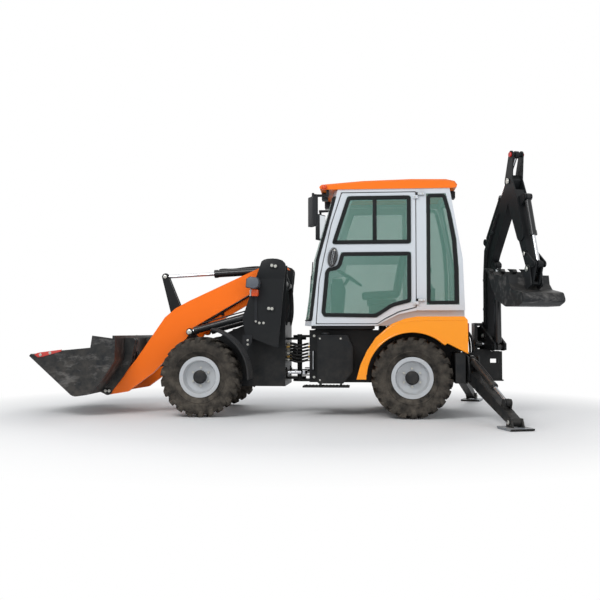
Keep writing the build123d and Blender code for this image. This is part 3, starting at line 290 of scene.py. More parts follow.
nodeFinish = {
    "armOrange": ["loader_arms"],
    "roofOrange": ["cab_roof"],
    "fenderOrange": ["rear_fenders"],
    "cabSilver": ["cab_shell", "door_left", "door_right"],
    "tintedGlass": ["cab_glass", "door_left_glass", "door_right_glass"],
    "bucketBlack": ["loader_bucket", "dig_bucket"],
    "castIron": ["engine_block", "front_axle", "rear_axle"],
    "plasticBlack": ["front_fenders", "headlamps", "controls", "cab_fittings"],
    "seatVinyl": ["seat"],
    "rimSilver": ["rim_front_left", "rim_front_right", "rim_rear_left", "rim_rear_right"],
    "tyreRubber": ["tyre_front_left", "tyre_front_right", "tyre_rear_left", "tyre_rear_right"],
}
finishOf = {node: finish for finish, nodes in nodeFinish.items() for node in nodes}
for node in frame["nodes"]:
    if node in finishOf:
        finish = finishOf[node]
    elif "_rod" in node:
        finish = "rodChrome"
    elif "_barrel" in node:
        finish = "barrelBlack"
    else:
        finish = "frameBlack"
    mesh = bpy.data.objects[node].data
    mesh.materials.clear()
    mesh.materials.append(materials[finish])
bpy.ops.object.select_all(action="DESELECT")
print("CAD nodes dressed")


# ---------- modelling helpers ----------
def clearSelection():
    if bpy.context.object and bpy.context.object.mode != "OBJECT":
        bpy.ops.object.mode_set(mode="OBJECT")
    bpy.ops.object.select_all(action="DESELECT")


def bevelAll(width, segments=2, angle=35):
    # rounds the edges of the active piece and keeps the result
    piece = bpy.context.object
    edge = piece.modifiers.new("bevel", "BEVEL")
    edge.width = width
    edge.segments = segments
    edge.limit_method = "ANGLE"
    edge.angle_limit = radians(angle)
    bpy.ops.object.modifier_apply(modifier=edge.name)


def settle(name, finish, body, smooth=40):
    # names the active piece, paints it and lets it ride on its body, if it has one
    piece = bpy.context.object
    if piece.mode != "OBJECT":
        bpy.ops.object.mode_set(mode="OBJECT")
    bpy.ops.object.transform_apply(location=True, rotation=True, scale=True)
    if smooth:
        bpy.ops.object.shade_smooth_by_angle(angle=radians(smooth))
    piece.name = name
    piece.data.name = name
    piece.data.materials.clear()
    piece.data.materials.append(materials[finish])
    if body:
        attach(piece, body)
    clearSelection()
    return piece


def joinAll(parts):
    clearSelection()
    for part in parts:
        part.select_set(True)
    bpy.context.view_layer.objects.active = parts[0]
    if len(parts) > 1:
        bpy.ops.object.join()
    return bpy.context.object


def stamp(master, places, keepMaster=False):
    # copies of a model that stands on z = 0, at (place, direction), joined as one piece
    copies = []
    for spot, direction in places:
        twin = master.copy()
        twin.data = master.data.copy()
        bpy.context.collection.objects.link(twin)
        turn = Vector((0, 0, 1)).rotation_difference(Vector(direction)).to_matrix().to_4x4()
        twin.data.transform(Matrix.Translation(spot) @ turn)
        copies.append(twin)
    if not keepMaster:
        bpy.data.objects.remove(master)
    return joinAll(copies)


def turned(profile, steps=48, closed=True):
    # a form turned about z from (radius, height) rings; closed fills both ends
    clearSelection()
    radius, height = profile[0]
    bpy.ops.mesh.primitive_circle_add(
        vertices=steps, radius=radius, location=(0, 0, height), fill_type="NGON" if closed else "NOTHING"
    )
    bpy.ops.object.transform_apply(location=True)
    bpy.ops.object.mode_set(mode="EDIT")
    bpy.ops.mesh.select_mode(type="VERT")  # an open ring has no face to select
    bpy.ops.mesh.select_all(action="SELECT")
    last = (radius, height)
    for radius, height in profile[1:]:
        bpy.ops.mesh.extrude_region_move(TRANSFORM_OT_translate={"value": (0, 0, height - last[1])})
        scale = radius / last[0]
        bpy.ops.transform.resize(value=(scale, scale, 1), center_override=(0, 0, height))
        last = (radius, height)
    bpy.ops.mesh.select_all(action="SELECT")
    bpy.ops.mesh.remove_doubles(threshold=0.00005)
    bpy.ops.mesh.normals_make_consistent(inside=False)
    bpy.ops.object.mode_set(mode="OBJECT")
    return bpy.context.object


def standUp(direction, spot=(0, 0, 0)):
    # turns the active model from z to the direction and puts it in its place
    piece = bpy.context.object
    turn = Vector((0, 0, 1)).rotation_difference(Vector(direction)).to_matrix().to_4x4()
    piece.data.transform(Matrix.Translation(spot) @ turn)


def boltHead(radius=0.011, height=0.008):
    clearSelection()
    bpy.ops.mesh.primitive_cylinder_add(vertices=16, radius=radius * 1.35, depth=0.003, location=(0, 0, 0.0015))
    bpy.ops.object.transform_apply(location=True)
    washer = bpy.context.object
    clearSelection()
    bpy.ops.mesh.primitive_cylinder_add(vertices=6, radius=radius, depth=height, location=(0, 0, 0.003 + height / 2))
    bpy.ops.object.transform_apply(location=True)
    bevelAll(radius * 0.14, 1)
    head = bpy.context.object
    return joinAll([washer, head])


def plateFrom(outline, low, high, bevel=0.0):
    # a plate in the side view's plane: outline of (x, z), from y = low to y = high
    clearSelection()
    bpy.ops.mesh.primitive_circle_add(vertices=len(outline), radius=1, fill_type="NGON")
    piece = bpy.context.object
    for vertex, (x, z) in zip(piece.data.vertices, outline):
        vertex.co = (x, low, z)
    bpy.ops.object.mode_set(mode="EDIT")
    bpy.ops.mesh.select_all(action="SELECT")
    bpy.ops.mesh.extrude_region_move(TRANSFORM_OT_translate={"value": (0, high - low, 0)})
    bpy.ops.mesh.select_all(action="SELECT")
    bpy.ops.mesh.normals_make_consistent(inside=False)
    bpy.ops.object.mode_set(mode="OBJECT")
    if bevel:
        bevelAll(bevel)
    return piece


def roundOutline(outline, radius, steps=4):
    # the outline's corners replaced by short arcs
    points = []
    count = len(outline)
    for index in range(count):
        before = Vector(outline[index - 1])
        corner = Vector(outline[index])
        after = Vector(outline[(index + 1) % count])
        reach = min(radius, (before - corner).length * 0.45, (after - corner).length * 0.45)
        start = corner + (before - corner).normalized() * reach
        end = corner + (after - corner).normalized() * reach
        for step in range(steps + 1):
            t = step / steps
            points.append((start * (1 - t) ** 2 + corner * 2 * t * (1 - t) + end * t**2)[:])
    return points


def frameFrom(outline, width, low, high, radius=0.03, bevel=0.0):
    # a rim of the given width that runs round an outline of (x, z)
    clearSelection()
    points = roundOutline(outline, radius)
    bpy.ops.mesh.primitive_circle_add(vertices=len(points), radius=1, fill_type="NGON")
    piece = bpy.context.object
    for vertex, (x, z) in zip(piece.data.vertices, points):
        vertex.co = (x, low, z)
    bpy.ops.object.mode_set(mode="EDIT")
    bpy.ops.mesh.select_mode(type="FACE")
    bpy.ops.mesh.select_all(action="SELECT")
    bpy.ops.mesh.inset(thickness=width)
    bpy.ops.mesh.delete(type="FACE")
    bpy.ops.mesh.select_all(action="SELECT")
    bpy.ops.mesh.extrude_region_move(TRANSFORM_OT_translate={"value": (0, high - low, 0)})
    bpy.ops.mesh.select_all(action="SELECT")
    bpy.ops.mesh.normals_make_consistent(inside=False)
    bpy.ops.object.mode_set(mode="OBJECT")
    if bevel:
        bevelAll(bevel)
    return piece


def boxBar(low, high, bevel=0.003, segments=2):
    clearSelection()
    centre = [(a + b) / 2 for a, b in zip(low, high)]
    bpy.ops.mesh.primitive_cube_add(size=1, location=centre)
    piece = bpy.context.object
    piece.scale = [b - a for a, b in zip(low, high)]
    bpy.ops.object.transform_apply(location=True, scale=True)
    if bevel:
        bevelAll(bevel, segments)
    return piece


def mirrored(piece, name, body):
    # the same piece on the machine's other side
    twin = piece.copy()
    twin.data = piece.data.copy()
    bpy.context.collection.objects.link(twin)
    twin.data.transform(Matrix.Scale(-1, 4, (0, 1, 0)))
    clearSelection()
    twin.select_set(True)
    bpy.context.view_layer.objects.active = twin
    bpy.ops.object.mode_set(mode="EDIT")
    bpy.ops.mesh.select_all(action="SELECT")
    bpy.ops.mesh.normals_make_consistent(inside=False)
    bpy.ops.object.mode_set(mode="OBJECT")
    twin.parent = None
    twin.name = name
    twin.data.name = name
    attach(twin, body)
    clearSelection()
    return twin


def tube(points, radius, steps=12):
    # a smooth hose or pipe along the points, as a mesh
    clearSelection()
    line = bpy.data.curves.new("line", "CURVE")
    line.dimensions = "3D"
    spline = line.splines.new("NURBS")
    spline.points.add(len(points) - 1)
    for point, spot in zip(spline.points, points):
        point.co = (*spot, 1)
    spline.order_u = 3
    spline.use_endpoint_u = True
    spline.resolution_u = 6
    line.bevel_depth = radius
    line.bevel_resolution = max(1, steps // 4 - 1)
    line.use_fill_caps = True
    piece = bpy.data.objects.new("line", line)
    bpy.context.collection.objects.link(piece)
    piece.select_set(True)
    bpy.context.view_layer.objects.active = piece
    bpy.ops.object.convert(target="MESH")
    return bpy.context.object


# ---------- wheels ----------
wheel = {
    "radius": 0.460,
    "half": 0.170,
    "lugs": 22,
    "lugDepth": 0.030,
    "lugWidth": 0.056,
    "bolts": 6,
    "boltCircle": 0.104,
    "capRadius": 0.079,
    "capOut": 0.100,
}
carcass = [
    (0.2125, -0.112),
    (0.2150, -0.124),
    (0.2390, -0.126),
    (0.2560, -0.140),
    (0.2900, -0.158),
    (0.2960, -0.1645),
    (0.3040, -0.1600),
    (0.3450, -0.1690),
    (0.3900, -0.1640),
    (0.4180, -0.1480),
    (0.4300, -0.1200),
    (0.4330, 0.0),
]
rings = carcass + [(r, -h) for r, h in reversed(carcass[:-1])] + [carcass[0]]
tyreBody = turned(rings, 96, closed=False)
lugs = []
for side in (-1, 1):
    for index in range(wheel["lugs"]):
        lugs.append((side, (index + (0.5 if side > 0 else 0)) * 2 * pi / wheel["lugs"]))
clearSelection()
bpy.ops.mesh.primitive_cube_add(size=1, location=(0.438, 0, 0.062))
lug = bpy.context.object
lug.scale = (0.044, wheel["lugWidth"], 0.100)
bpy.ops.object.transform_apply(location=True, scale=True)
bpy.ops.object.mode_set(mode="EDIT")
bpy.ops.mesh.select_mode(type="FACE")
bpy.ops.mesh.select_all(action="DESELECT")
bpy.ops.object.mode_set(mode="OBJECT")
for face in lug.data.polygons:
    face.select = face.normal.z < -0.9
bpy.ops.object.mode_set(mode="EDIT")
bpy.ops.transform.translate(value=(0, -0.048, 0))
bpy.ops.transform.resize(value=(1, 0.72, 1), center_override=(0.438, -0.048, 0.012))
bpy.ops.mesh.select_all(action="DESELECT")
bpy.ops.object.mode_set(mode="OBJECT")
for face in lug.data.polygons:
    face.select = face.normal.z > 0.9
bpy.ops.object.mode_set(mode="EDIT")
bpy.ops.mesh.extrude_region_move(TRANSFORM_OT_translate={"value": (-0.006, 0.020, 0.040)})
bpy.ops.transform.resize(value=(0.9, 1.05, 1), center_override=(0.424, 0.020, 0.152))
bpy.ops.mesh.extrude_region_move(TRANSFORM_OT_translate={"value": (-0.034, 0.006, 0.014)})
bpy.ops.transform.resize(value=(0.75, 0.86, 1), center_override=(0.395, 0.026, 0.166))
bpy.ops.mesh.select_all(action="SELECT")
bpy.ops.mesh.normals_make_consistent(inside=False)
bpy.ops.object.mode_set(mode="OBJECT")
bevelAll(0.004, 2, 30)
for vertex in lug.data.vertices:
    reach = hypot(vertex.co.x, vertex.co.y)
    if reach > wheel["radius"] - 0.0004:
        vertex.co.x *= (wheel["radius"] - 0.0004) / reach
        vertex.co.y *= (wheel["radius"] - 0.0004) / reach
pieces = [tyreBody]
for side, angle in lugs:
    twin = lug.copy()
    twin.data = lug.data.copy()
    bpy.context.collection.objects.link(twin)
    matrix = Matrix.Rotation(angle, 4, "Z")
    if side < 0:
        matrix = matrix @ Matrix.Rotation(pi, 4, "X")
    twin.data.transform(matrix)
    pieces.append(twin)
bpy.data.objects.remove(lug)
tyreModel = joinAll(pieces)
tyreModel.name = "tyreModel"

cap = turned([(0.074, 0.0), (0.079, 0.002), (0.079, 0.012), (0.066, 0.018), (0.060, 0.030), (0.030, 0.034), (0.001, 0.034)], 32)
cap.name = "hubCapModel"
nut = boltHead(0.0105, 0.011)
nut.name = "wheelNutModel"

for corner in ("front_left", "front_right", "rear_left", "rear_right"):
    joint = joints["spin_" + corner]
    centre = Vector(joint["pos_m"])
    out = -1 if centre.y < 0 else 1
    body = "wheel_" + corner
    clearSelection()
    tyre = tyreModel.copy()
    tyre.data = tyreModel.data.copy()
    bpy.context.collection.objects.link(tyre)
    tyre.data.transform(Matrix.Translation(centre) @ Matrix.Rotation(radians(90) * -out, 4, "X"))
    tyre.select_set(True)
    bpy.context.view_layer.objects.active = tyre
    settle("tyreTread_" + corner, "tyreRubber", body, 30)
    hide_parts("tyre_" + corner)
    face = centre + Vector((0, out * wheel["capOut"], 0))
    clearSelection()
    hubCap = stamp(cap, [(face, (0, out, 0))], keepMaster=True)
    settle("hubCap_" + corner, "plasticBlack", body)
    spots = []
    for index in range(wheel["bolts"]):
        angle = radians(30) + index * 2 * pi / wheel["bolts"]
        reach = Vector((cos(angle), 0, sin(angle))) * wheel["boltCircle"]
        spots.append((centre + reach + Vector((0, out * 0.0625, 0)), (0, out, 0)))
    stamp(nut, spots, keepMaster=True)
    settle("wheelNuts_" + corner, "boltZinc", body)
for model in (tyreModel, cap, nut):
    bpy.data.objects.remove(model)
print("wheels made")


# ---------- places in the slanting planes ----------
def upright(origin, across, away):
    # (u, offset, height) as (x, y, z) turned into the machine's frame
    u, v = Vector((*across, 0)), Vector((*away, 0))
    matrix = Matrix(((u.x, v.x, 0, origin[0]), (u.y, v.y, 0, origin[1]), (0, 0, 1, origin[2]), (0, 0, 0, 1)))
    return matrix


swingTurn = radians(70)
legTurn = radians(17)
swingPost = joints["swing"]["pos_m"]
planes = {
    "swing": upright((swingPost[0], 0, 0), (cos(swingTurn), -sin(swingTurn)), (-sin(swingTurn), -cos(swingTurn))),
    "left": upright(joints["stabilizer_left"]["pos_m"], (sin(legTurn), -cos(legTurn)), (-cos(legTurn), -sin(legTurn))),
}


def lean(plane):
    # moves the active piece from the (u, offset, height) frame to its plane
    piece = bpy.context.object
    piece.data.transform(planes[plane])
    bpy.ops.object.mode_set(mode="EDIT")
    bpy.ops.mesh.select_all(action="SELECT")
    bpy.ops.mesh.normals_make_consistent(inside=False)
    bpy.ops.object.mode_set(mode="OBJECT")


def inPlane(plane, points):
    return [(planes[plane] @ Vector(point))[:] for point in points]


# ---------- cab windows ----------
window = {"face": -0.6263, "out": -0.6305, "border": 0.046, "seal": 0.007}
upperPane = [(0.640, 2.560), (1.375, 2.560), (1.375, 1.998), (0.455, 1.998)]
lowerPane = [(0.565, 1.905), (0.520, 1.742), (0.415, 1.728), (0.380, 1.680), (0.335, 1.200), (0.365, 1.152)]
lowerPane += [(0.975, 1.142), (1.165, 1.268), (1.375, 1.320), (1.375, 1.905)]
sidePane = [(1.556, 2.574), (1.770, 2.574), (1.834, 2.340), (1.889, 2.048), (1.914, 1.699), (1.919, 1.296), (1.556, 1.296)]
# name, outline, body, outer face, border width
paneRims = [
    ("upperPaneRim", upperPane, "door_left", window["face"], window["border"]),
    ("lowerPaneRim", lowerPane, "door_left", window["face"], window["border"]),
    ("sidePaneRim", sidePane, "rear_frame", -0.6143, 0.040),
]
for name, outline, body, face, border in paneRims:
    rim = frameFrom(outline, border, face - 0.0030, face, 0.045, 0.0008)
    left = settle(name + "_left", "sealBlack", body, 30)
    mirrored(left, name + "_right", body.replace("left", "right"))
    lip = frameFrom(outline, window["seal"], face - 0.0055, face, 0.045, 0.0015)
    left = settle(name + "Lip_left", "hoseRubber", body, 30)
    mirrored(left, name + "Lip_right", body.replace("left", "right"))
boxBar((0.935, window["out"], 2.040), (0.980, window["face"], 2.520), 0.001)
left = settle("slidingPaneBar_left", "sealBlack", "door_left", 30)
mirrored(left, "slidingPaneBar_right", "door_right")
boxBar((0.962, window["out"] - 0.004, 2.250), (0.980, window["out"], 2.330), 0.0015)
left = settle("slidingPaneCatch_left", "plasticBlack", "door_left", 30)
mirrored(left, "slidingPaneCatch_right", "door_right")
plateFrom([(1.835, 2.330), (1.888, 2.048), (1.914, 1.699), (1.919, 1.300), (1.868, 1.300), (1.866, 1.699), (1.842, 2.040), (1.790, 2.330)], -0.6168, -0.6143)
left = settle("sidePaneBlind_left", "sealBlack", "rear_frame", 0)
mirrored(left, "sidePaneBlind_right", "rear_frame")

# rubber strips round the door leaves, grey on their crown
doorGap = [(0.272, 1.070), (0.308, 1.570), (0.365, 1.850), (0.451, 2.236), (0.572, 2.603), (1.4335, 2.603)]
doorGap += [(1.4335, 1.2615), (1.236, 1.212), (1.069, 1.128), (0.987, 1.070)]
frameFrom(doorGap, 0.006, -0.6225, -0.606, 0.02, 0.001)
left = settle("doorGapSeal_left", "hoseRubber", "rear_frame", 30)
mirrored(left, "doorGapSeal_right", "rear_frame")
print("window rims made")

# windscreen seals and their black borders
screenEdge = [(0.2265, 1.110), (0.3085, 1.823), (0.5095, 2.560)]
for hand, word in ((-1, "left"), (1, "right")):
    low, middle, high = [(x - 0.004, hand * 0.6195, z) for x, z in screenEdge]
    tube([low, low, middle, middle, high, high], 0.007, 12)
    settle("screenSeal_" + word, "hoseRubber", "rear_frame")
    strip = [(0.2225, 1.112), (0.3045, 1.823), (0.5055, 2.558), (0.476, 2.558), (0.272, 1.823), (0.190, 1.112)]
    low, high = sorted((hand * 0.6190, hand * 0.6208))
    plateFrom(strip, low, high)
    settle("screenBorder_" + word, "sealBlack", "rear_frame", 0)
bottomSeal = [(0.210, -0.6135, 1.112), (0.144, -0.486, 1.112), (0.138, -0.470, 1.112), (0.138, 0.0, 1.112)]
bottomSeal += [(0.138, 0.470, 1.112), (0.144, 0.486, 1.112), (0.210, 0.6135, 1.112)]
tube(bottomSeal, 0.008, 12)
settle("screenSealFoot", "hoseRubber", "rear_frame")
topSeal = [(0.499, -0.6150, 2.556), (0.459, -0.486, 2.556), (0.455, -0.470, 2.556), (0.455, 0.0, 2.556)]
topSeal += [(0.455, 0.470, 2.556), (0.459, 0.486, 2.556), (0.499, 0.6150, 2.556)]
tube(topSeal, 0.008, 12)
settle("screenSealHead", "hoseRubber", "rear_frame")
rearEdge = []
for y, z in ((-0.478, 1.332), (-0.478, 2.568), (0.478, 2.568), (0.478, 1.332)):
    x = 1.965 - (z - 1.823) * 0.1775 if z > 1.823 else 1.965 + (1.823 - z) * 0.0375
    rearEdge += [(x + 0.002, y, z), (x + 0.002, y, z)]
rearEdge.insert(2, (1.967, -0.478, 1.823))
rearEdge.insert(2, (1.967, -0.478, 1.823))
rearEdge.insert(8, (1.967, 0.478, 1.823))
rearEdge.insert(8, (1.967, 0.478, 1.823))
rearEdge += rearEdge[:2]
tube(rearEdge, 0.011, 12)
settle("rearPaneSeal", "hoseRubber", "rear_frame")

# wipers, front and rear
wipers = {
    "front": [(0.118, 0.07, 1.135), (0.145, 0.02, 1.30), (0.170, -0.10, 1.52), (0.186, -0.18, 1.66)],
    "rear": [(1.995, 0.05, 1.345), (1.992, 0.02, 1.50), (1.982, -0.08, 1.72), (1.965, -0.14, 1.86)],
}
for end, points in wipers.items():
    tube(points, 0.007, 8)
    arm = bpy.context.object
    reach = Vector(points[-1]) - Vector(points[1])
    outward = Vector((-0.006, 0, 0)) if end == "front" else Vector((0.004, 0, 0))
    blade = [Vector(points[-1]) - reach * 0.55 - outward, Vector(points[-1]) - outward, Vector(points[-1]) + reach * 0.45 - outward]
    tube([spot[:] for spot in blade], 0.006, 8)
    rubber = bpy.context.object
    clearSelection()
    bpy.ops.mesh.primitive_cylinder_add(vertices=24, radius=0.022, depth=0.03, location=points[0], rotation=(0, radians(90), 0))
    bpy.ops.object.transform_apply(location=True, rotation=True)
    bevelAll(0.004)
    boss = bpy.context.object
    joinAll([arm, rubber, boss])
    settle(end + "Wiper", "plasticBlack", "rear_frame")
print("seals and wipers made")

# ---------- door handles and hinges ----------
handle = {"place": (0.468, 1.845), "tilt": -10, "half": (0.0595, 0.1195)}
clearSelection()
bpy.ops.mesh.primitive_circle_add(vertices=48, radius=1, fill_type="NGON")
plate = bpy.context.object
bpy.ops.object.mode_set(mode="EDIT")
bpy.ops.mesh.select_all(action="SELECT")
bpy.ops.transform.resize(value=(handle["half"][0], handle["half"][1], 1))
bpy.ops.mesh.extrude_region_move(TRANSFORM_OT_translate={"value": (0, 0, 0.012)})
bpy.ops.mesh.inset(thickness=0.006, depth=0.004)
bpy.ops.mesh.inset(thickness=0.007, depth=0.020)
bpy.ops.mesh.inset(thickness=0.003, depth=0.001)
bpy.ops.mesh.inset(thickness=0.014, depth=-0.002)
bpy.ops.mesh.inset(thickness=0.004, depth=-0.016)
bpy.ops.mesh.select_all(action="SELECT")
bpy.ops.mesh.normals_make_consistent(inside=False)
bpy.ops.object.mode_set(mode="OBJECT")
bevelAll(0.0015, 2, 50)
ringPiece = bpy.context.object
clearSelection()
bpy.ops.mesh.primitive_cube_add(size=1, location=(0, 0, 0.026))
bar = bpy.context.object
bar.scale = (0.022, 0.192, 0.018)
bpy.ops.object.transform_apply(location=True, scale=True)
bevelAll(0.006, 3)
joinAll([ringPiece, bpy.context.object])
piece = bpy.context.object
turn = Matrix.Translation((handle["place"][0], -0.6198, handle["place"][1])) @ Matrix.Rotation(radians(90), 4, "X")
piece.data.transform(turn @ Matrix.Rotation(radians(handle["tilt"]), 4, "Z"))
left = settle("doorHandle_left", "handleBlack", "door_left", 35)
mirrored(left, "doorHandle_right", "door_right")
clearSelection()
bpy.ops.mesh.primitive_cylinder_add(vertices=24, radius=0.010, depth=0.004, location=(0.492, -0.6545, 1.925), rotation=(radians(90), 0, 0))
bpy.ops.object.transform_apply(location=True, rotation=True)
bevelAll(0.001)
left = settle("doorLock_left", "boltZinc", "door_left")
mirrored(left, "doorLock_right", "door_right")

for level, word in ((1.290, "Low"), (2.520, "High")):
    boxBar((1.400, -0.6475, level + 0.001), (1.447, -0.6435, level + 0.037), 0.0015)
    left = settle("hingeLeaf" + word + "_left", "cabSilver", "door_left", 30)
    mirrored(left, "hingeLeaf" + word + "_right", "door_right")
    boxBar((1.447, -0.6475, level + 0.040), (1.5305, -0.6435, level + 0.0705), 0.0015)
    left = settle("hingePlate" + word + "_left", "cabSilver", "rear_frame", 30)
    mirrored(left, "hingePlate" + word + "_right", "rear_frame")
    head = boltHead(0.0065, 0.005)
    stamp(head, [((1.418, -0.6470, level + 0.019), (0, -1, 0))])
    left = settle("hingeLeafBolt" + word + "_left", "boltZinc", "door_left")
    mirrored(left, "hingeLeafBolt" + word + "_right", "door_right")
    head = boltHead(0.0065, 0.005)
    stamp(head, [((x, -0.6470, level + 0.055), (0, -1, 0)) for x in (1.470, 1.508)])
    left = settle("hingePlateBolts" + word + "_left", "boltZinc", "rear_frame")
    mirrored(left, "hingePlateBolts" + word + "_right", "rear_frame")
print("handles and hinges made")

# ---------- mirrors and cab lamps ----------
for hand, word in ((-1, "left"), (1, "right")):
    turn = Matrix.Translation((0.245, hand * 0.720, 0)) @ Matrix.Rotation(radians(-25 * hand), 4, "Z")
    boxBar((0.0292, -0.076, 2.212), (0.0318, 0.076, 2.528), 0.001)
    bpy.context.object.data.transform(turn)
    settle("mirrorFace_" + word, "mirrorFace", "rear_frame", 0)
    boxBar((-0.0325, -0.0885, 2.196), (0.0305, 0.0885, 2.544), 0.022, 4)
    shell = bpy.context.object
    clearSelection()
    shell.select_set(True)
    bpy.context.view_layer.objects.active = shell
    bpy.ops.object.mode_set(mode="EDIT")
    bpy.ops.mesh.select_mode(type="FACE")
    bpy.ops.mesh.select_all(action="DESELECT")
    bpy.ops.object.mode_set(mode="OBJECT")
    for face in shell.data.polygons:
        face.select = face.normal.x > 0.99
    bpy.ops.object.mode_set(mode="EDIT")
    bpy.ops.mesh.inset(thickness=0.003)
    bpy.ops.mesh.delete(type="FACE")
    bpy.ops.object.mode_set(mode="OBJECT")
    shell.data.transform(turn)
    settle("mirrorShell_" + word, "plasticBlack", "rear_frame", 40)
    arm = [(0.410, hand * 0.609, 2.632), (0.412, hand * 0.609, 2.590), (0.395, hand * 0.612, 2.5735), (0.300, hand * 0.625, 2.573)]
    arm += [(0.252, hand * 0.650, 2.573), (0.245, hand * 0.715, 2.573), (0.245, hand * 0.722, 2.560), (0.245, hand * 0.722, 2.500)]
    tube(arm, 0.0148, 12)
    settle("mirrorArm_" + word, "hoseRubber", "rear_frame")
    # work lamps under the roof's front and rear edges
    for x, out, end in ((0.340, -1, "front"), (1.895, 1, "rear")):
        low, high = sorted((x, x + out * 0.007))
        boxBar((low, hand * 0.325 - 0.070, 2.566), (high, hand * 0.325 + 0.070, 2.634), 0.003)
        settle(end + "WorkLens_" + word, "lensClear", "rear_frame", 30)
        frameFrom([(-0.0765, 2.559), (-0.0765, 2.6385), (0.0765, 2.6385), (0.0765, 2.559)], 0.008, 0, 0.012, 0.008, 0.001)
        bpy.context.object.data.transform(
            Matrix.Translation((x, hand * 0.325, 0)) @ Matrix.Rotation(radians(90 * out), 4, "Z") @ Matrix.Scale(-1, 4, (0, 1, 0))
        )
        bpy.ops.object.mode_set(mode="EDIT")
        bpy.ops.mesh.select_all(action="SELECT")
        bpy.ops.mesh.normals_make_consistent(inside=False)
        bpy.ops.object.mode_set(mode="OBJECT")
        settle(end + "WorkLampRim_" + word, "plasticBlack", "rear_frame", 30)
    # marker lamp at the roof's corner
    turned([(0.030, 0.0), (0.033, 0.004), (0.033, 0.012), (0.028, 0.016), (0.028, 0.040), (0.022, 0.048), (0.010, 0.052), (0.001, 0.052)], 32)
    standUp((0, hand, 0), (0.372, hand * 0.634, 2.664))
    settle("markerLamp_" + word, "lensAmber", "rear_frame", 40)
print("mirrors and cab lamps made")

# ---------- headlamps ----------
hood = [(-0.537, 1.4935), (-0.529, 1.593), (-0.4865, 1.6195), (-0.399, 1.6075), (-0.3765, 1.560), (-0.391, 1.4985), (-0.440, 1.4765)]
plateFrom(hood, -0.7565, -0.6050)
hoodPiece = bpy.context.object
bevelAll(0.010, 3, 30)
clearSelection()
hoodPiece.select_set(True)
bpy.context.view_layer.objects.active = hoodPiece
bpy.ops.object.mode_set(mode="EDIT")
bpy.ops.mesh.select_mode(type="FACE")
bpy.ops.mesh.select_all(action="DESELECT")
bpy.ops.object.mode_set(mode="OBJECT")
for face in hoodPiece.data.polygons:
    face.select = face.normal.x < -0.97 and face.area > 0.004
bpy.ops.object.mode_set(mode="EDIT")
bpy.ops.mesh.inset(thickness=0.006)
bpy.ops.mesh.extrude_region_move(TRANSFORM_OT_translate={"value": (0.030, 0, 0.0)})
bpy.ops.mesh.select_all(action="SELECT")
bpy.ops.object.mode_set(mode="OBJECT")
left = settle("lampHood_left", "hoodGrey", "front_frame", 40)
right = mirrored(left, "lampHood_right", "front_frame")
boxBar((-0.532, -0.744, 1.500), (-0.514, -0.617, 1.590), 0.007, 3)
left = settle("headLens_left", "lensClear", "front_frame", 40)
mirrored(left, "headLens_right", "front_frame")
boxBar((-0.513, -0.742, 1.503), (-0.503, -0.619, 1.588), 0.002)
left = settle("headReflector_left", "lampSilver", "front_frame", 40)
mirrored(left, "headReflector_right", "front_frame")
plateFrom([(-0.4805, 1.3935), (-0.4015, 1.3935), (-0.3975, 1.4720), (-0.4765, 1.4805)], -0.6945, -0.6065)
bevelAll(0.010, 3, 30)
left = settle("indicatorLens_left", "lensAmber", "front_frame", 40)
mirrored(left, "indicatorLens_right", "front_frame")
plateFrom([(-0.500, 1.3935), (-0.4805, 1.3935), (-0.4765, 1.4805), (-0.497, 1.4805)], -0.6945, -0.6150)
bevelAll(0.006, 3, 30)
left = settle("positionLens_left", "lensClear", "front_frame", 40)
mirrored(left, "positionLens_right", "front_frame")
print("headlamps made")

# ---------- rear lamps ----------
boxBar((1.978, -0.850, 0.965), (1.9865, -0.640, 1.085), 0.003)
left = settle("rearLampBase_left", "plasticBlack", "rear_frame", 30)
mirrored(left, "rearLampBase_right", "rear_frame")
for label, y, wide, finish in (("rearRedLens", 0.795, 0.090, "lensRed"), ("rearAmberLens", 0.690, 0.080, "lensAmber")):
    boxBar((1.9855, -y - wide / 2, 0.975), (2.0045, -y + wide / 2, 1.075), 0.008, 3)
    left = settle(label + "_left", finish, "rear_frame", 40)
    mirrored(left, label + "_right", "rear_frame")
print("rear lamps made")

# ---------- pin keepers and bolts ----------
# label, bolt places (x, z), face the keeper lies on, its thickness, body
keepers = [
    ("armPivotKeeper", [(-0.246, 1.757), (-0.204, 1.748)], -0.6050, 0.016, "front_frame"),
    ("liftBaseKeeper", [(-0.282, 1.252), (-0.244, 1.248)], -0.6050, 0.016, "front_frame"),
    ("bucketPinKeeper", [(-2.262, 0.272), (-2.218, 0.272)], -0.5240, 0.008, "loader_arms"),
]
for label, spots, face, thick, body in keepers:
    (x1, z1), (x2, z2) = spots
    outline = roundOutline([(x1 - 0.028, z1 + 0.030), (x1 - 0.028, z1 - 0.030), (x2 + 0.028, z2 - 0.030), (x2 + 0.028, z2 + 0.030)], 0.026)
    plateFrom(outline, face - thick, face, 0.0015)
    left = settle(label + "_left", "frameBlack", body, 30)
    mirrored(left, label + "_right", body)
    head = boltHead(0.0135, 0.009)
    stamp(head, [((x, face - thick, z), (0, -1, 0)) for x, z in spots])
    left = settle(label + "Bolts_left", "boltZinc", body)
    mirrored(left, label + "Bolts_right", body)

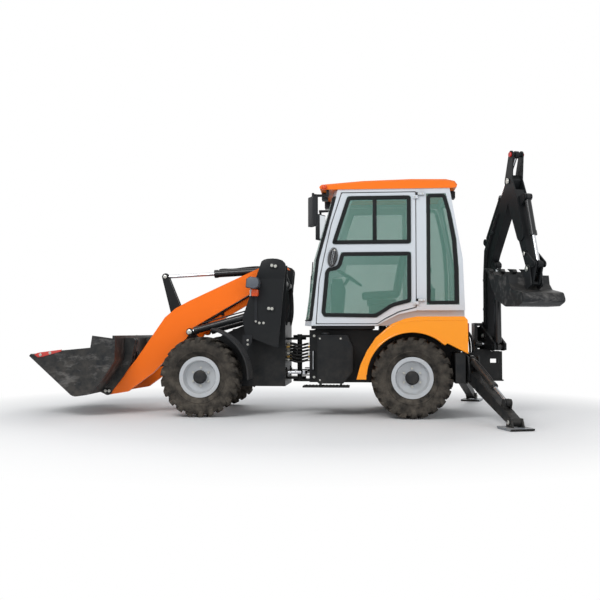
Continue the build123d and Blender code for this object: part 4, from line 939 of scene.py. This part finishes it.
# label, bolt places (x, z), face, bolt radius, body
boltRows = [
    ("lampPostBolts", [(-0.435, 1.100), (-0.435, 1.440)], -0.6195, 0.009, "front_frame"),
    ("mastBolts", [(-0.395, 1.082), (-0.345, 1.082)], -0.6050, 0.011, "front_frame"),
    ("guardBolts", [(-0.530, 0.880), (-0.530, 0.830)], -0.6190, 0.010, "front_frame"),
    ("rearPlateBolts", [(0.235, 0.930), (0.235, 0.440)], -0.4000, 0.011, "rear_frame"),
    ("tankBolts", [(0.320, 0.900), (0.320, 0.420), (0.560, 0.900)], -0.6600, 0.008, "rear_frame"),
]
for label, spots, face, radius, body in boltRows:
    head = boltHead(radius, radius * 0.7)
    stamp(head, [((x, face, z), (0, -1, 0)) for x, z in spots])
    left = settle(label + "_left", "boltZinc", body)
    mirrored(left, label + "_right", body)

# ends of the pins that show: label, (x, z), face, radius, body
pinEnds = [
    ("liftEyePin", (-1.237, 0.977), -0.5740, 0.030, "lift_rods"),
    ("liftBasePin", (-0.246, 1.248), -0.5740, 0.030, "lift_barrels"),
]
for label, (x, z), face, radius, body in pinEnds:
    turned([(radius, 0.0), (radius, 0.004), (radius * 0.86, 0.007), (radius * 0.3, 0.007), (radius * 0.22, 0.011), (0.001, 0.011)], 32)
    standUp((0, -1, 0), (x, face, z))
    left = settle(label + "_left", "boltZinc", body)
    mirrored(left, label + "_right", body)
for label, (x, z), body in (("rockerTopPin", (-1.668, 1.671), "rocker"), ("rockerLowPin", (-1.141, 0.649), "rocker")):
    turned([(0.024, 0.0), (0.024, 0.003), (0.020, 0.006), (0.006, 0.006), (0.005, 0.009), (0.001, 0.009)], 24)
    standUp((0, -1, 0), (x, -0.0535, z))
    left = settle(label + "_left", "boltZinc", body)
    mirrored(left, label + "_right", body)
# the mast plates' rounded heads, which cover the arms' bosses
crown = [(-0.372, 1.806), (-0.345, 1.826), (-0.300, 1.838), (-0.240, 1.841), (-0.180, 1.836), (-0.125, 1.818), (-0.092, 1.785)]
crown += [(-0.0845, 1.745), (-0.098, 1.600), (-0.400, 1.600), (-0.440, 1.606)]
plateFrom(crown, -0.6058, -0.5842, 0.002)
left = settle("mastCrown_left", "frameBlack", "front_frame", 30)
mirrored(left, "mastCrown_right", "front_frame")

# sleeves round the rods' eyes: label, plane, (u, height), low, high, radius, body
eyes = [
    ("liftRodEye", "side", (-1.237, 0.977), -0.5496, -0.4984, 0.0428, "lift_rods"),
    ("tiltRodEye", "side", (-1.668, 1.671), -0.0206, 0.0206, 0.0448, "tilt_rod"),
    ("boomRodEye", "swing", (0.318, 1.760), -0.0226, 0.0226, 0.0408, "boom_rod"),
    ("dipperRodEye", "swing", (0.785, 2.985), -0.0226, 0.0226, 0.0408, "dipper_rod"),
    ("curlRodEye", "swing", (1.223, 1.709), -0.0226, 0.0226, 0.0408, "curl_rod"),
    ("legRodEye", "left", (0.8286, -0.2167), -0.0206, 0.0206, 0.0408, "leg_rod_left"),
]
for label, plane, (u, v), low, high, radius, body in eyes:
    deep = high - low
    turned([(radius, 0.0), (radius + 0.0012, 0.002), (radius + 0.0012, deep - 0.002), (radius, deep)], 40)
    bpy.context.object.data.transform(Matrix.Translation((u, high, v)) @ Matrix.Rotation(radians(90), 4, "X"))
    if plane != "side":
        lean(plane)
    piece = settle(label, "frameBlack", body, 30)
    if body == "lift_rods":
        mirrored(piece, label + "_right", body)
    if body == "leg_rod_left":
        mirrored(piece, label + "_right", "leg_rod_right")
print("bolts and pins made")

# ---------- loader bucket's edges ----------
bucket = {"lip": (-3.045, 0.711), "heel": (-2.523, 0.242), "half": 0.900}
run = Vector((bucket["heel"][0] - bucket["lip"][0], bucket["heel"][1] - bucket["lip"][1])).normalized()
rise = Vector((-run.y, run.x))
lip = Vector(bucket["lip"])
edge = [lip + run * 0.004 + rise * 0.0165, lip + run * 0.135 + rise * 0.0165, lip + run * 0.135 + rise * 0.026]
edge += [lip + run * 0.030 + rise * 0.026, lip + run * 0.004 + rise * 0.019]
plateFrom([tuple(spot) for spot in edge], -0.878, 0.878, 0.001)
settle("bucketCuttingEdge", "cutterSteel", "loader_bucket", 30)
spots = []
for index in range(10):
    spot = lip + run * 0.085 + rise * 0.026
    spots.append(((spot.x, -0.81 + index * 0.18, spot.y), (rise.x, 0, rise.y)))
head = boltHead(0.014, 0.006)
stamp(head, spots)
settle("cuttingEdgeBolts", "boltZinc", "loader_bucket")
cutter = [(-2.990, 0.7115), (-2.955, 0.7330), (-2.900, 0.7430), (-2.660, 0.7730), (-2.672, 0.7500), (-2.890, 0.6900), (-2.940, 0.6820)]
plateFrom(cutter, -0.9095, -0.8995, 0.0015)
left = settle("sideCutter_left", "cutterRed", "loader_bucket", 30)
mirrored(left, "sideCutter_right", "loader_bucket")
head = boltHead(0.013, 0.007)
stamp(head, [((x, -0.9095, z), (0, -1, 0)) for x, z in ((-2.915, 0.712), (-2.800, 0.735))])
left = settle("sideCutterBolts_left", "boltZinc", "loader_bucket")
mirrored(left, "sideCutterBolts_right", "loader_bucket")
for index, y in enumerate((-0.62, -0.21, 0.21, 0.62)):
    strip = [lip + run * 0.16 - rise * 0.015, lip + run * 0.60 - rise * 0.015, lip + run * 0.60 - rise * 0.026, lip + run * 0.18 - rise * 0.026]
    plateFrom([tuple(spot) for spot in strip], y - 0.035, y + 0.035, 0.002)
    settle("bucketWearStrip%d" % index, "cutterSteel", "loader_bucket", 30)
print("bucket edges made")

# ---------- hoses of the loader ----------
# label, points, radius, body
loaderHoses = [
    ("tiltHoseA", [(-0.285, 0.046, 1.690), (-0.330, 0.060, 1.760), (-0.470, 0.060, 1.800), (-0.660, 0.055, 1.786), (-0.820, 0.045, 1.762), (-0.960, 0.030, 1.768), (-0.985, 0.012, 1.755)], 0.011, "tilt_barrel"),
    ("tiltHoseB", [(-0.285, -0.046, 1.690), (-0.330, -0.060, 1.752), (-0.400, -0.058, 1.782), (-0.450, -0.040, 1.790), (-0.480, -0.020, 1.778)], 0.011, "tilt_barrel"),
]
for hand, word in ((-1, "left"), (1, "right")):
    for index, low in enumerate((0.0, 0.028, 0.056)):
        y = hand * 0.418
        line = [(-0.300, y, 1.700 - low), (-0.500, y, 1.600 - low), (-0.850, y, 1.400 - low), (-1.150, y, 1.215 - low)]
        line += [(-1.290, y, 1.110 - low), (-1.420, y, 1.010 - low)]
        loaderHoses.append(("armHose%s_%s" % ("ABC"[index], word), line, 0.010, "loader_arms"))
    y = hand * 0.575
    line = [(-0.330, y, 1.275), (-0.420, y, 1.262), (-0.560, y, 1.224), (-0.760, y, 1.168), (-0.960, y, 1.114), (-1.080, y, 1.080)]
    loaderHoses.append(("liftPipe_" + word, line, 0.008, "lift_barrels"))
    line = [(-0.112, hand * 0.300, 1.060), (-0.090, hand * 0.310, 1.150), (-0.095, hand * 0.340, 1.350), (-0.110, hand * 0.350, 1.560), (-0.170, hand * 0.372, 1.690)]
    loaderHoses.append(("mastHoseA_" + word, line, 0.012, "front_frame"))
    line = [(-0.112, hand * 0.260, 1.060), (-0.082, hand * 0.270, 1.150), (-0.085, hand * 0.310, 1.350), (-0.104, hand * 0.325, 1.560), (-0.165, hand * 0.360, 1.700)]
    loaderHoses.append(("mastHoseB_" + word, line, 0.012, "front_frame"))
for label, points, radius, body in loaderHoses:
    tube(points, radius, 12)
    settle(label, "hoseRubber", body)
for hand, word in ((-1, "left"), (1, "right")):
    spots = []
    for x, z in ((-0.62, 1.505), (-1.02, 1.277)):
        boxBar((x - 0.018, -0.430, z - 0.082), (x + 0.018, -0.402, z + 0.030), 0.004)
        spots.append(bpy.context.object)
    clamps = joinAll(spots)
    if hand > 0:
        clamps.data.transform(Matrix.Scale(-1, 4, (0, 1, 0)))
        bpy.ops.object.mode_set(mode="EDIT")
        bpy.ops.mesh.select_all(action="SELECT")
        bpy.ops.mesh.normals_make_consistent(inside=False)
        bpy.ops.object.mode_set(mode="OBJECT")
    settle("armHoseClamps_" + word, "frameBlack", "loader_arms", 30)

# hoses that cross the articulated frame's joint: name, height, distance from the middle
jointHoses = [("A", 0.835, 0.150), ("B", 0.795, 0.175), ("C", 0.755, 0.150), ("D", 0.715, 0.185), ("E", 0.675, 0.160), ("F", 0.635, 0.190)]
for hand, word in ((-1, "left"), (1, "right")):
    for label, z, y in jointHoses:
        front, rear = (-0.108, hand * y, z), (0.178, hand * y, z)
        line = [front, (-0.060, hand * y, z), (0.000, hand * (y + 0.016), z - 0.022), (0.065, hand * (y + 0.016), z - 0.022), (0.130, hand * y, z), rear]
        tube(line, 0.0125, 12)
        piece = settle("jointHose%s_%s" % (label, word), "hoseRubber", None)
        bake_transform(piece)
        for end, x, way, body in (("Front", -0.110, 1, "front_frame"), ("Rear", 0.180, -1, "rear_frame")):
            turned([(0.017, 0.0), (0.017, 0.012), (0.0145, 0.014), (0.0145, 0.030), (0.0135, 0.032), (0.001, 0.032)], 6)
            standUp((way, 0, 0), (x, hand * y, z))
            settle("jointFitting%s%s_%s" % (label, end, word), "fittingBrass" if label in "BE" else "boltZinc", body, 30)
print("loader hoses made")

# ---------- side tanks, steps and mounts ----------
for hand, word in ((-1, "left"), (1, "right")):
    tube([(0.228, -0.400, 0.528), (0.228, -0.428, 0.530), (0.228, -0.432, 0.545), (0.228, -0.432, 0.735), (0.228, -0.428, 0.750), (0.228, -0.400, 0.752)], 0.009, 12)
    bar = bpy.context.object
    if hand > 0:
        bar.data.transform(Matrix.Scale(-1, 4, (0, 1, 0)))
    settle("grabBar_" + word, "rodChrome", "rear_frame")
clearSelection()
bpy.ops.mesh.primitive_cylinder_add(vertices=12, radius=0.009, depth=0.005, location=(0, 0, 0.0025))
stud = bpy.context.object
bpy.ops.object.transform_apply(location=True)
bevelAll(0.0015, 1)
spots = []
for row in range(5):
    for column in range(13):
        spots.append(((0.150 + column * 0.040 + (row % 2) * 0.015, -0.470 - row * 0.047, 0.352), (0, 0, 1)))
stamp(stud, spots)
left = settle("stepStuds_left", "frameBlack", "rear_frame", 30)
mirrored(left, "stepStuds_right", "rear_frame")
turned([(0.046, 0.0), (0.050, 0.006), (0.050, 0.022), (0.046, 0.028), (0.040, 0.030), (0.001, 0.030)], 32)
standUp((0, 0, 1), (0.380, -0.560, 0.940))
left = settle("tankCap_left", "plasticBlack", "rear_frame")
mirrored(left, "tankCap_right", "rear_frame")
cornerRib = roundOutline([(0.298, 0.388), (0.586, 0.388), (0.692, 0.523), (0.692, 0.797), (0.634, 0.932), (0.298, 0.932)], 0.03)
frameFrom(cornerRib, 0.010, -0.6635, -0.6595, 0.004, 0.001)
left = settle("tankSeam_left", "frameBlack", "rear_frame", 30)
mirrored(left, "tankSeam_right", "rear_frame")
rubber = [(0.040, 1.001), (0.044, 1.003), (0.044, 1.012), (0.039, 1.016), (0.039, 1.019), (0.044, 1.023), (0.044, 1.032), (0.039, 1.036), (0.039, 1.049)]
for index, (x, y) in enumerate(((0.300, -0.360), (0.300, 0.360), (1.050, -0.360), (1.050, 0.360))):
    turned(rubber, 32, closed=False)
    bpy.context.object.data.transform(Matrix.Translation((x, y, 0)))
    settle("cabMount%d" % index, "hoseRubber", "rear_frame")
# dark rubber sheet that fills the gap between the frame and the cab floor: painted shade standing in for the dark gap
# under the cab
boxBar((0.215, -0.585, 1.012), (0.955, 0.585, 1.046), 0.006)
settle("underfloorShadeSheet", "hoseRubber", "rear_frame", 30)
for hand, word in ((-1, "left"), (1, "right")):
    line = [(0.190, hand * 0.330, 0.960), (0.240, hand * 0.425, 1.012), (0.420, hand * 0.430, 1.006), (0.620, hand * 0.428, 1.008), (0.820, hand * 0.420, 1.010), (0.930, hand * 0.360, 1.000)]
    tube(line, 0.010, 12)
    settle("underfloorHarness_" + word, "hoseRubber", "rear_frame")
print("tanks and mounts made")

# ---------- mudguards ----------
guard = {"radius": 0.5765, "from": -2, "to": 75, "edge": 0.893}
for index, y in enumerate((0.640, 0.715, 0.790, 0.862)):
    line = []
    for step in range(15):
        angle = radians(guard["from"] + (guard["to"] - guard["from"]) * step / 14)
        line.append((-1.050 + guard["radius"] * cos(angle), -y, 0.460 + guard["radius"] * sin(angle)))
    tube(line, 0.008, 8)
    left = settle("frontGuardRib%d_left" % index, "plasticBlack", "front_frame")
    mirrored(left, "frontGuardRib%d_right" % index, "front_frame")
line = []
for step in range(15):
    angle = radians(guard["from"] + (guard["to"] - guard["from"]) * step / 14)
    line.append((-1.050 + 0.566 * cos(angle), -guard["edge"], 0.460 + 0.566 * sin(angle)))
tube(line, 0.0125, 12)
left = settle("frontGuardEdge_left", "plasticBlack", "front_frame")
mirrored(left, "frontGuardEdge_right", "front_frame")
line = []
for step in range(25):
    angle = radians(48 + 128 * step / 24)
    line.append((1.370 + 0.519 * cos(angle), -0.9035, 0.460 + 0.519 * sin(angle)))
tube(line, 0.010, 12)
left = settle("rearGuardLip_left", "fenderOrange", "rear_frame")
mirrored(left, "rearGuardLip_right", "rear_frame")
crease = [(0.810, 0.640), (0.885, 0.800), (0.985, 0.940), (1.155, 1.080), (1.290, 1.102), (1.420, 1.118), (1.700, 1.118), (1.945, 1.118)]
tube([(x + 0.012, -0.9025, z - 0.012) for x, z in crease], 0.006, 8)
left = settle("rearGuardCrease_left", "fenderOrange", "rear_frame")
mirrored(left, "rearGuardCrease_right", "rear_frame")
print("mudguards made")

# ---------- backhoe ----------
for hand in (-1, 1):
    turned([(0.030, 0.0), (0.030, 0.010), (0.026, 0.014), (0.001, 0.014)], 24)
    cap = bpy.context.object
    cap.data.transform(Matrix.Translation((0.785, hand * 0.073, 2.985)) @ Matrix.Rotation(radians(-90 * hand), 4, "X"))
    lean("swing")
    settle("dipperPinCap_" + ("left" if hand > 0 else "right"), "capRed", "dipper")
# label, (u, height), offset, radius, body
swingPins = [
    ("boomFootPin", (0.120, 0.930), 0.094, 0.030, "swing_post"),
    ("boomHeadPin", (0.725, 2.690), 0.082, 0.032, "dipper"),
    ("dipperNosePin", (1.120, 1.660), 0.086, 0.027, "dig_bucket"),
    ("digRockerPin", (1.068, 1.832), 0.086, 0.023, "dipper"),
]
for label, (u, v), offset, radius, body in swingPins:
    for hand in (-1, 1):
        turned([(radius, 0.0), (radius, 0.004), (radius * 0.85, 0.008), (radius * 0.25, 0.008), (radius * 0.2, 0.012), (0.001, 0.012)], 24)
        bpy.context.object.data.transform(
            Matrix.Translation((u, hand * (offset - 0.002), v)) @ Matrix.Rotation(radians(-90 * hand), 4, "X")
        )
        lean("swing")
        settle(label + ("_left" if hand > 0 else "_right"), "boltZinc", body)
for hand, word in ((1, "left"), (-1, "right")):
    for index, shift in enumerate((0.0, 0.030)):
        w = hand * 0.0585
        line = [(0.105 + shift, w, 1.080), (0.108 + shift, w, 1.300), (0.112 + shift, w, 1.620), (0.150 + shift, w, 1.900)]
        line += [(0.265 + shift, w, 2.090), (0.380 + shift, w, 2.260), (0.445 + shift, w, 2.360)]
        tube(inPlane("swing", line), 0.0085, 12)
        settle("boomPipe%s_%s" % ("AB"[index], word), "hoseRubber", "boom")
    parts = []
    for u, v in ((0.123, 1.250), (0.127, 1.600), (0.330, 2.145)):
        boxBar((u - 0.032, hand * 0.0595 - 0.0095, v - 0.014), (u + 0.036, hand * 0.0595 + 0.0095, v + 0.014), 0.003)
        parts.append(bpy.context.object)
    joinAll(parts)
    lean("swing")
    settle("boomPipeClamps_" + word, "frameBlack", "boom", 30)
# label, base, eye, from the base, to, distance off the cylinder's middle, plane, body
ramPipes = [
    ("boomRamPipe", (0.330, 0.800), (0.318, 1.760), 0.090, 0.520, 0.055, "swing", "boom_barrel"),
    ("dipperRamPipe", (0.110, 2.060), (0.785, 2.985), 0.090, 0.570, 0.053, "swing", "dipper_barrel"),
    ("curlRamPipe", (1.010, 2.470), (1.223, 1.709), 0.080, 0.420, -0.049, "swing", "curl_barrel"),
    ("legRamPipe", (-0.030, 0.200), (0.8286, -0.2167), 0.090, 0.590, 0.051, "left", "leg_barrel_left"),
]
for label, base, eye, low, high, off, plane, body in ramPipes:
    along = (Vector(eye) - Vector(base)).normalized()
    side = Vector((-along.y, along.x)) * off
    spots = [low, low + 0.030, (low + high) / 2, high - 0.030, high]
    offs = [0.72, 1.0, 1.0, 1.0, 0.72]
    line = []
    for reach, share in zip(spots, offs):
        spot = Vector(base) + along * reach + side * share
        line.append((spot.x, 0, spot.y))
    tube(inPlane(plane, line), 0.0075, 12)
    piece = settle(label + ("_left" if plane == "left" else ""), "hoseRubber", body)
    if plane == "left":
        mirrored(piece, label + "_right", "leg_barrel_right")
# hoses that arch from the rear frame to the sliding carriage
for index, y in enumerate((-0.150, -0.115, 0.115, 0.150)):
    rise = 0.030 * (index % 2)
    line = [(1.900, y * 1.6, 0.735), (1.900, y * 1.6, 0.800), (1.930, y * 1.5, 0.930 + rise), (2.010, y * 1.2, 0.985 + rise)]
    line += [(2.100, y, 0.940 + rise), (2.130, y, 0.850), (2.130, y, 0.728)]
    tube(line, 0.012, 12)
    piece = settle("carriageHose%d" % index, "hoseRubber", None)
    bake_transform(piece)
# the swing's cylinder lies on the carriage
for label, low, high, radius, finish in (("swingCylinder", 2.158, 2.238, 0.032, "barrelBlack"), ("swingRod", 2.236, 2.262, 0.016, "rodChrome")):
    clearSelection()
    bpy.ops.mesh.primitive_cylinder_add(vertices=32, radius=radius, depth=high - low, location=((low + high) / 2, -0.150, 0.835), rotation=(0, radians(90), 0))
    bpy.ops.object.transform_apply(location=True, rotation=True)
    bevelAll(0.004)
    settle(label, finish, "carriage")
print("backhoe pieces made")

# ---------- stabilizer shoes ----------
shoe = [(0.8697, -0.4695), (1.1503, -0.4695), (1.1653, -0.4465), (0.8547, -0.4465)]
plateFrom(shoe, -0.1303, 0.1303)
lean("left")
left = settle("stabilizerShoe_left", "padBlue", "leg_left", 30)
mirrored(left, "stabilizerShoe_right", "leg_right")
for hand in (-1, 1):
    turned([(0.024, 0.0), (0.024, 0.004), (0.020, 0.007), (0.001, 0.007)], 24)
    bpy.context.object.data.transform(Matrix.Translation((1.000, hand * 0.0755, -0.398)) @ Matrix.Rotation(radians(-90 * hand), 4, "X"))
    lean("left")
    left = settle("shoePin%s_left" % ("A" if hand < 0 else "B"), "boltZinc", "leg_left")
    mirrored(left, "shoePin%s_right" % ("A" if hand < 0 else "B"), "leg_right")
print("stabilizer shoes made")

# ---------- seat and controls ----------
def cushion(name, low, high, turn):
    # a crowned pad with a pulled-in seam, between two corners, leaning back by turn
    clearSelection()
    size = [b - a for a, b in zip(low, high)]
    centre = Vector([(a + b) / 2 for a, b in zip(low, high)])
    bpy.ops.mesh.primitive_cube_add(size=1, location=(0, 0, 0))
    pad = bpy.context.object
    pad.scale = size
    bpy.ops.object.transform_apply(scale=True)
    bevelAll(min(size) * 0.34, 3)
    bpy.ops.object.mode_set(mode="EDIT")
    bpy.ops.mesh.select_all(action="SELECT")
    bpy.ops.mesh.subdivide(number_cuts=3)
    bpy.ops.object.mode_set(mode="OBJECT")
    half = Vector(size) / 2
    thin = size.index(min(size))
    wide = [axis for axis in range(3) if axis != thin]
    for vertex in pad.data.vertices:
        u, v = vertex.co[wide[0]] / half[wide[0]], vertex.co[wide[1]] / half[wide[1]]
        crown = max(0.0, 1 - u * u) * max(0.0, 1 - v * v)
        channel = 0.10 * (1 - min(1.0, abs(abs(v) - 0.55) / 0.05))
        vertex.co[thin] *= 0.80 + 0.20 * crown - channel
    smooth = pad.modifiers.new("soft", "SUBSURF")
    smooth.levels = 1
    bpy.ops.object.modifier_apply(modifier=smooth.name)
    pad.data.transform(Matrix.Translation(centre) @ Matrix.Rotation(radians(turn), 4, "Y"))
    piece = settle(name, "seatVinyl", "rear_frame", 60)
    return piece


seatPad = cushion("seatCushion", (0.800, -0.238, 1.375), (1.235, 0.238, 1.478), -3)
backPad = cushion("seatBack", (1.215, -0.228, 1.400), (1.320, 0.228, 1.958), 11)
boxBar((0.860, -0.215, 1.300), (1.215, 0.215, 1.372), 0.012, 3)
tray = bpy.context.object
boxBar((0.885, -0.195, 1.092), (1.175, 0.195, 1.300), 0.02, 3)
stand = bpy.context.object
joinAll([tray, stand])
seatBase = settle("seatBase", "plasticBlack", "rear_frame", 30)
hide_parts("seat")
clearSelection()
bpy.ops.mesh.primitive_torus_add(major_radius=0.1725, minor_radius=0.0155, major_segments=64, minor_segments=16)
rim = bpy.context.object
shaft = Vector((0.55, 0, 0.835)).normalized()
rim.data.transform(Matrix.Translation(Vector((0.585, 0, 1.560)) + shaft * 0.106) @ Vector((0, 0, 1)).rotation_difference(shaft).to_matrix().to_4x4())
settle("steeringRim", "sealBlack", "rear_frame", 60)
turned([(0.043, 0.0), (0.045, 0.004), (0.042, 0.014), (0.030, 0.020), (0.001, 0.022)], 32)
standUp(shaft, Vector((0.585, 0, 1.560)) + shaft * 0.115)
settle("steeringHub", "plasticBlack", "rear_frame")
for hand, word in ((-1, "left"), (1, "right")):
    turned([(0.050, 0.0), (0.048, 0.010), (0.036, 0.016), (0.040, 0.024), (0.028, 0.032), (0.032, 0.042), (0.020, 0.052), (0.013, 0.070), (0.001, 0.071)], 24)
    standUp((0, 0, 1), (1.620, hand * 0.180, 1.499))
    settle("leverBoot_" + word, "hoseRubber", "rear_frame")
    turned([(0.012, 0.0), (0.024, 0.006), (0.027, 0.022), (0.026, 0.044), (0.018, 0.062), (0.001, 0.066)], 24)
    standUp((0, 0, 1), (1.620, hand * 0.180, 1.688))
    settle("leverKnob_" + word, "sealBlack", "rear_frame")
boxBar((0.438, -0.110, 1.574), (0.560, 0.110, 1.632), 0.014, 3)
settle("dashPod", "plasticBlack", "rear_frame", 40)
print("seat and controls made")

# ---------- floor, lights and camera ----------
bpy.ops.object.select_all(action="DESELECT")
bpy.ops.mesh.primitive_plane_add(size=120, location=(0, 0, -0.002))
floor = bpy.context.object
floor.name = "floor"
paper = bpy.data.materials.new("paleFloor")
paper.use_nodes = True
tree = paper.node_tree
shader = tree.nodes["Principled BSDF"]
shader.inputs["Base Color"].default_value = (0.86, 0.86, 0.86, 1)
shader.inputs["Roughness"].default_value = 0.9
white = addNode(tree, "ShaderNodeEmission", Strength=1.0)
white.inputs["Color"].default_value = (1, 1, 1, 1)
rays = addNode(tree, "ShaderNodeLightPath")
away = addNode(tree, "ShaderNodeTexCoord")
reach = addNode(tree, "ShaderNodeVectorMath", operation="LENGTH")
tree.links.new(away.outputs["Object"], reach.inputs[0])
fade = addNode(tree, "ShaderNodeMapRange", clamp=True)
fade.inputs["From Min"].default_value = 3.0
fade.inputs["From Max"].default_value = 5.0
tree.links.new(reach.outputs["Value"], fade.inputs["Value"])
farAway = addNode(tree, "ShaderNodeMath", operation="MULTIPLY")
tree.links.new(fade.outputs["Result"], farAway.inputs[0])
tree.links.new(rays.outputs["Is Camera Ray"], farAway.inputs[1])
blend = addNode(tree, "ShaderNodeMixShader")
tree.links.new(farAway.outputs[0], blend.inputs["Fac"])
tree.links.new(shader.outputs["BSDF"], blend.inputs[1])
tree.links.new(white.outputs[0], blend.inputs[2])
tree.links.new(blend.outputs[0], tree.nodes["Material Output"].inputs["Surface"])
floor.data.materials.append(paper)

world = bpy.data.worlds.new("studio")
bpy.context.scene.world = world
world.use_nodes = True
tree = world.node_tree
tree.nodes.clear()
rays = addNode(tree, "ShaderNodeLightPath")
soft = addNode(tree, "ShaderNodeBackground", Color=(0.93, 0.96, 1, 1), Strength=0.5)
plain = addNode(tree, "ShaderNodeBackground", Color=(1, 1, 1, 1), Strength=1.0)
seen = addNode(tree, "ShaderNodeMath", operation="MAXIMUM")
seenToo = addNode(tree, "ShaderNodeMath", operation="MAXIMUM")
blend = addNode(tree, "ShaderNodeMixShader")
out = addNode(tree, "ShaderNodeOutputWorld")
tree.links.new(rays.outputs["Is Camera Ray"], seen.inputs[0])
tree.links.new(rays.outputs["Is Transmission Ray"], seen.inputs[1])
tree.links.new(seen.outputs[0], seenToo.inputs[0])
tree.links.new(rays.outputs["Is Glossy Ray"], seenToo.inputs[1])
tree.links.new(seenToo.outputs[0], blend.inputs["Fac"])
tree.links.new(soft.outputs[0], blend.inputs[1])
tree.links.new(plain.outputs[0], blend.inputs[2])
tree.links.new(blend.outputs[0], out.inputs["Surface"])

# name, place, aim, size, power
lamps = [
    ("keyLight", (-3.5, -7.5, 7.5), (0, 0, 1.0), 4.5, 440),
    ("fillLight", (6.0, -8.5, 3.5), (0.5, 0, 1.0), 6.0, 170),
    ("backLight", (1.5, 7.5, 6.5), (0, 0, 1.2), 5.0, 260),
]
for lamp, spot, aim, size, power in lamps:
    bpy.ops.object.light_add(type="AREA", location=spot)
    light = bpy.context.object
    light.name = lamp
    light.data.shape = "DISK"
    light.data.size = size
    light.data.energy = power
    light.rotation_euler = (Vector(aim) - Vector(spot)).to_track_quat("-Z", "Y").to_euler()

view = {"place": (0.895, -10.038, 0.971), "yaw": 4.914, "pitch": 2.292, "lens": 48.6}
bpy.ops.object.camera_add(location=view["place"])
camera = bpy.context.object
camera.name = "mainCamera"
camera.data.lens = view["lens"]
camera.data.sensor_width = 36
camera.data.dof.use_dof = False
camera.rotation_euler = (radians(90 + view["pitch"]), 0, radians(view["yaw"]))
bpy.context.scene.camera = camera
bpy.context.scene.view_settings.view_transform = "Standard"
print("camera and lights set")
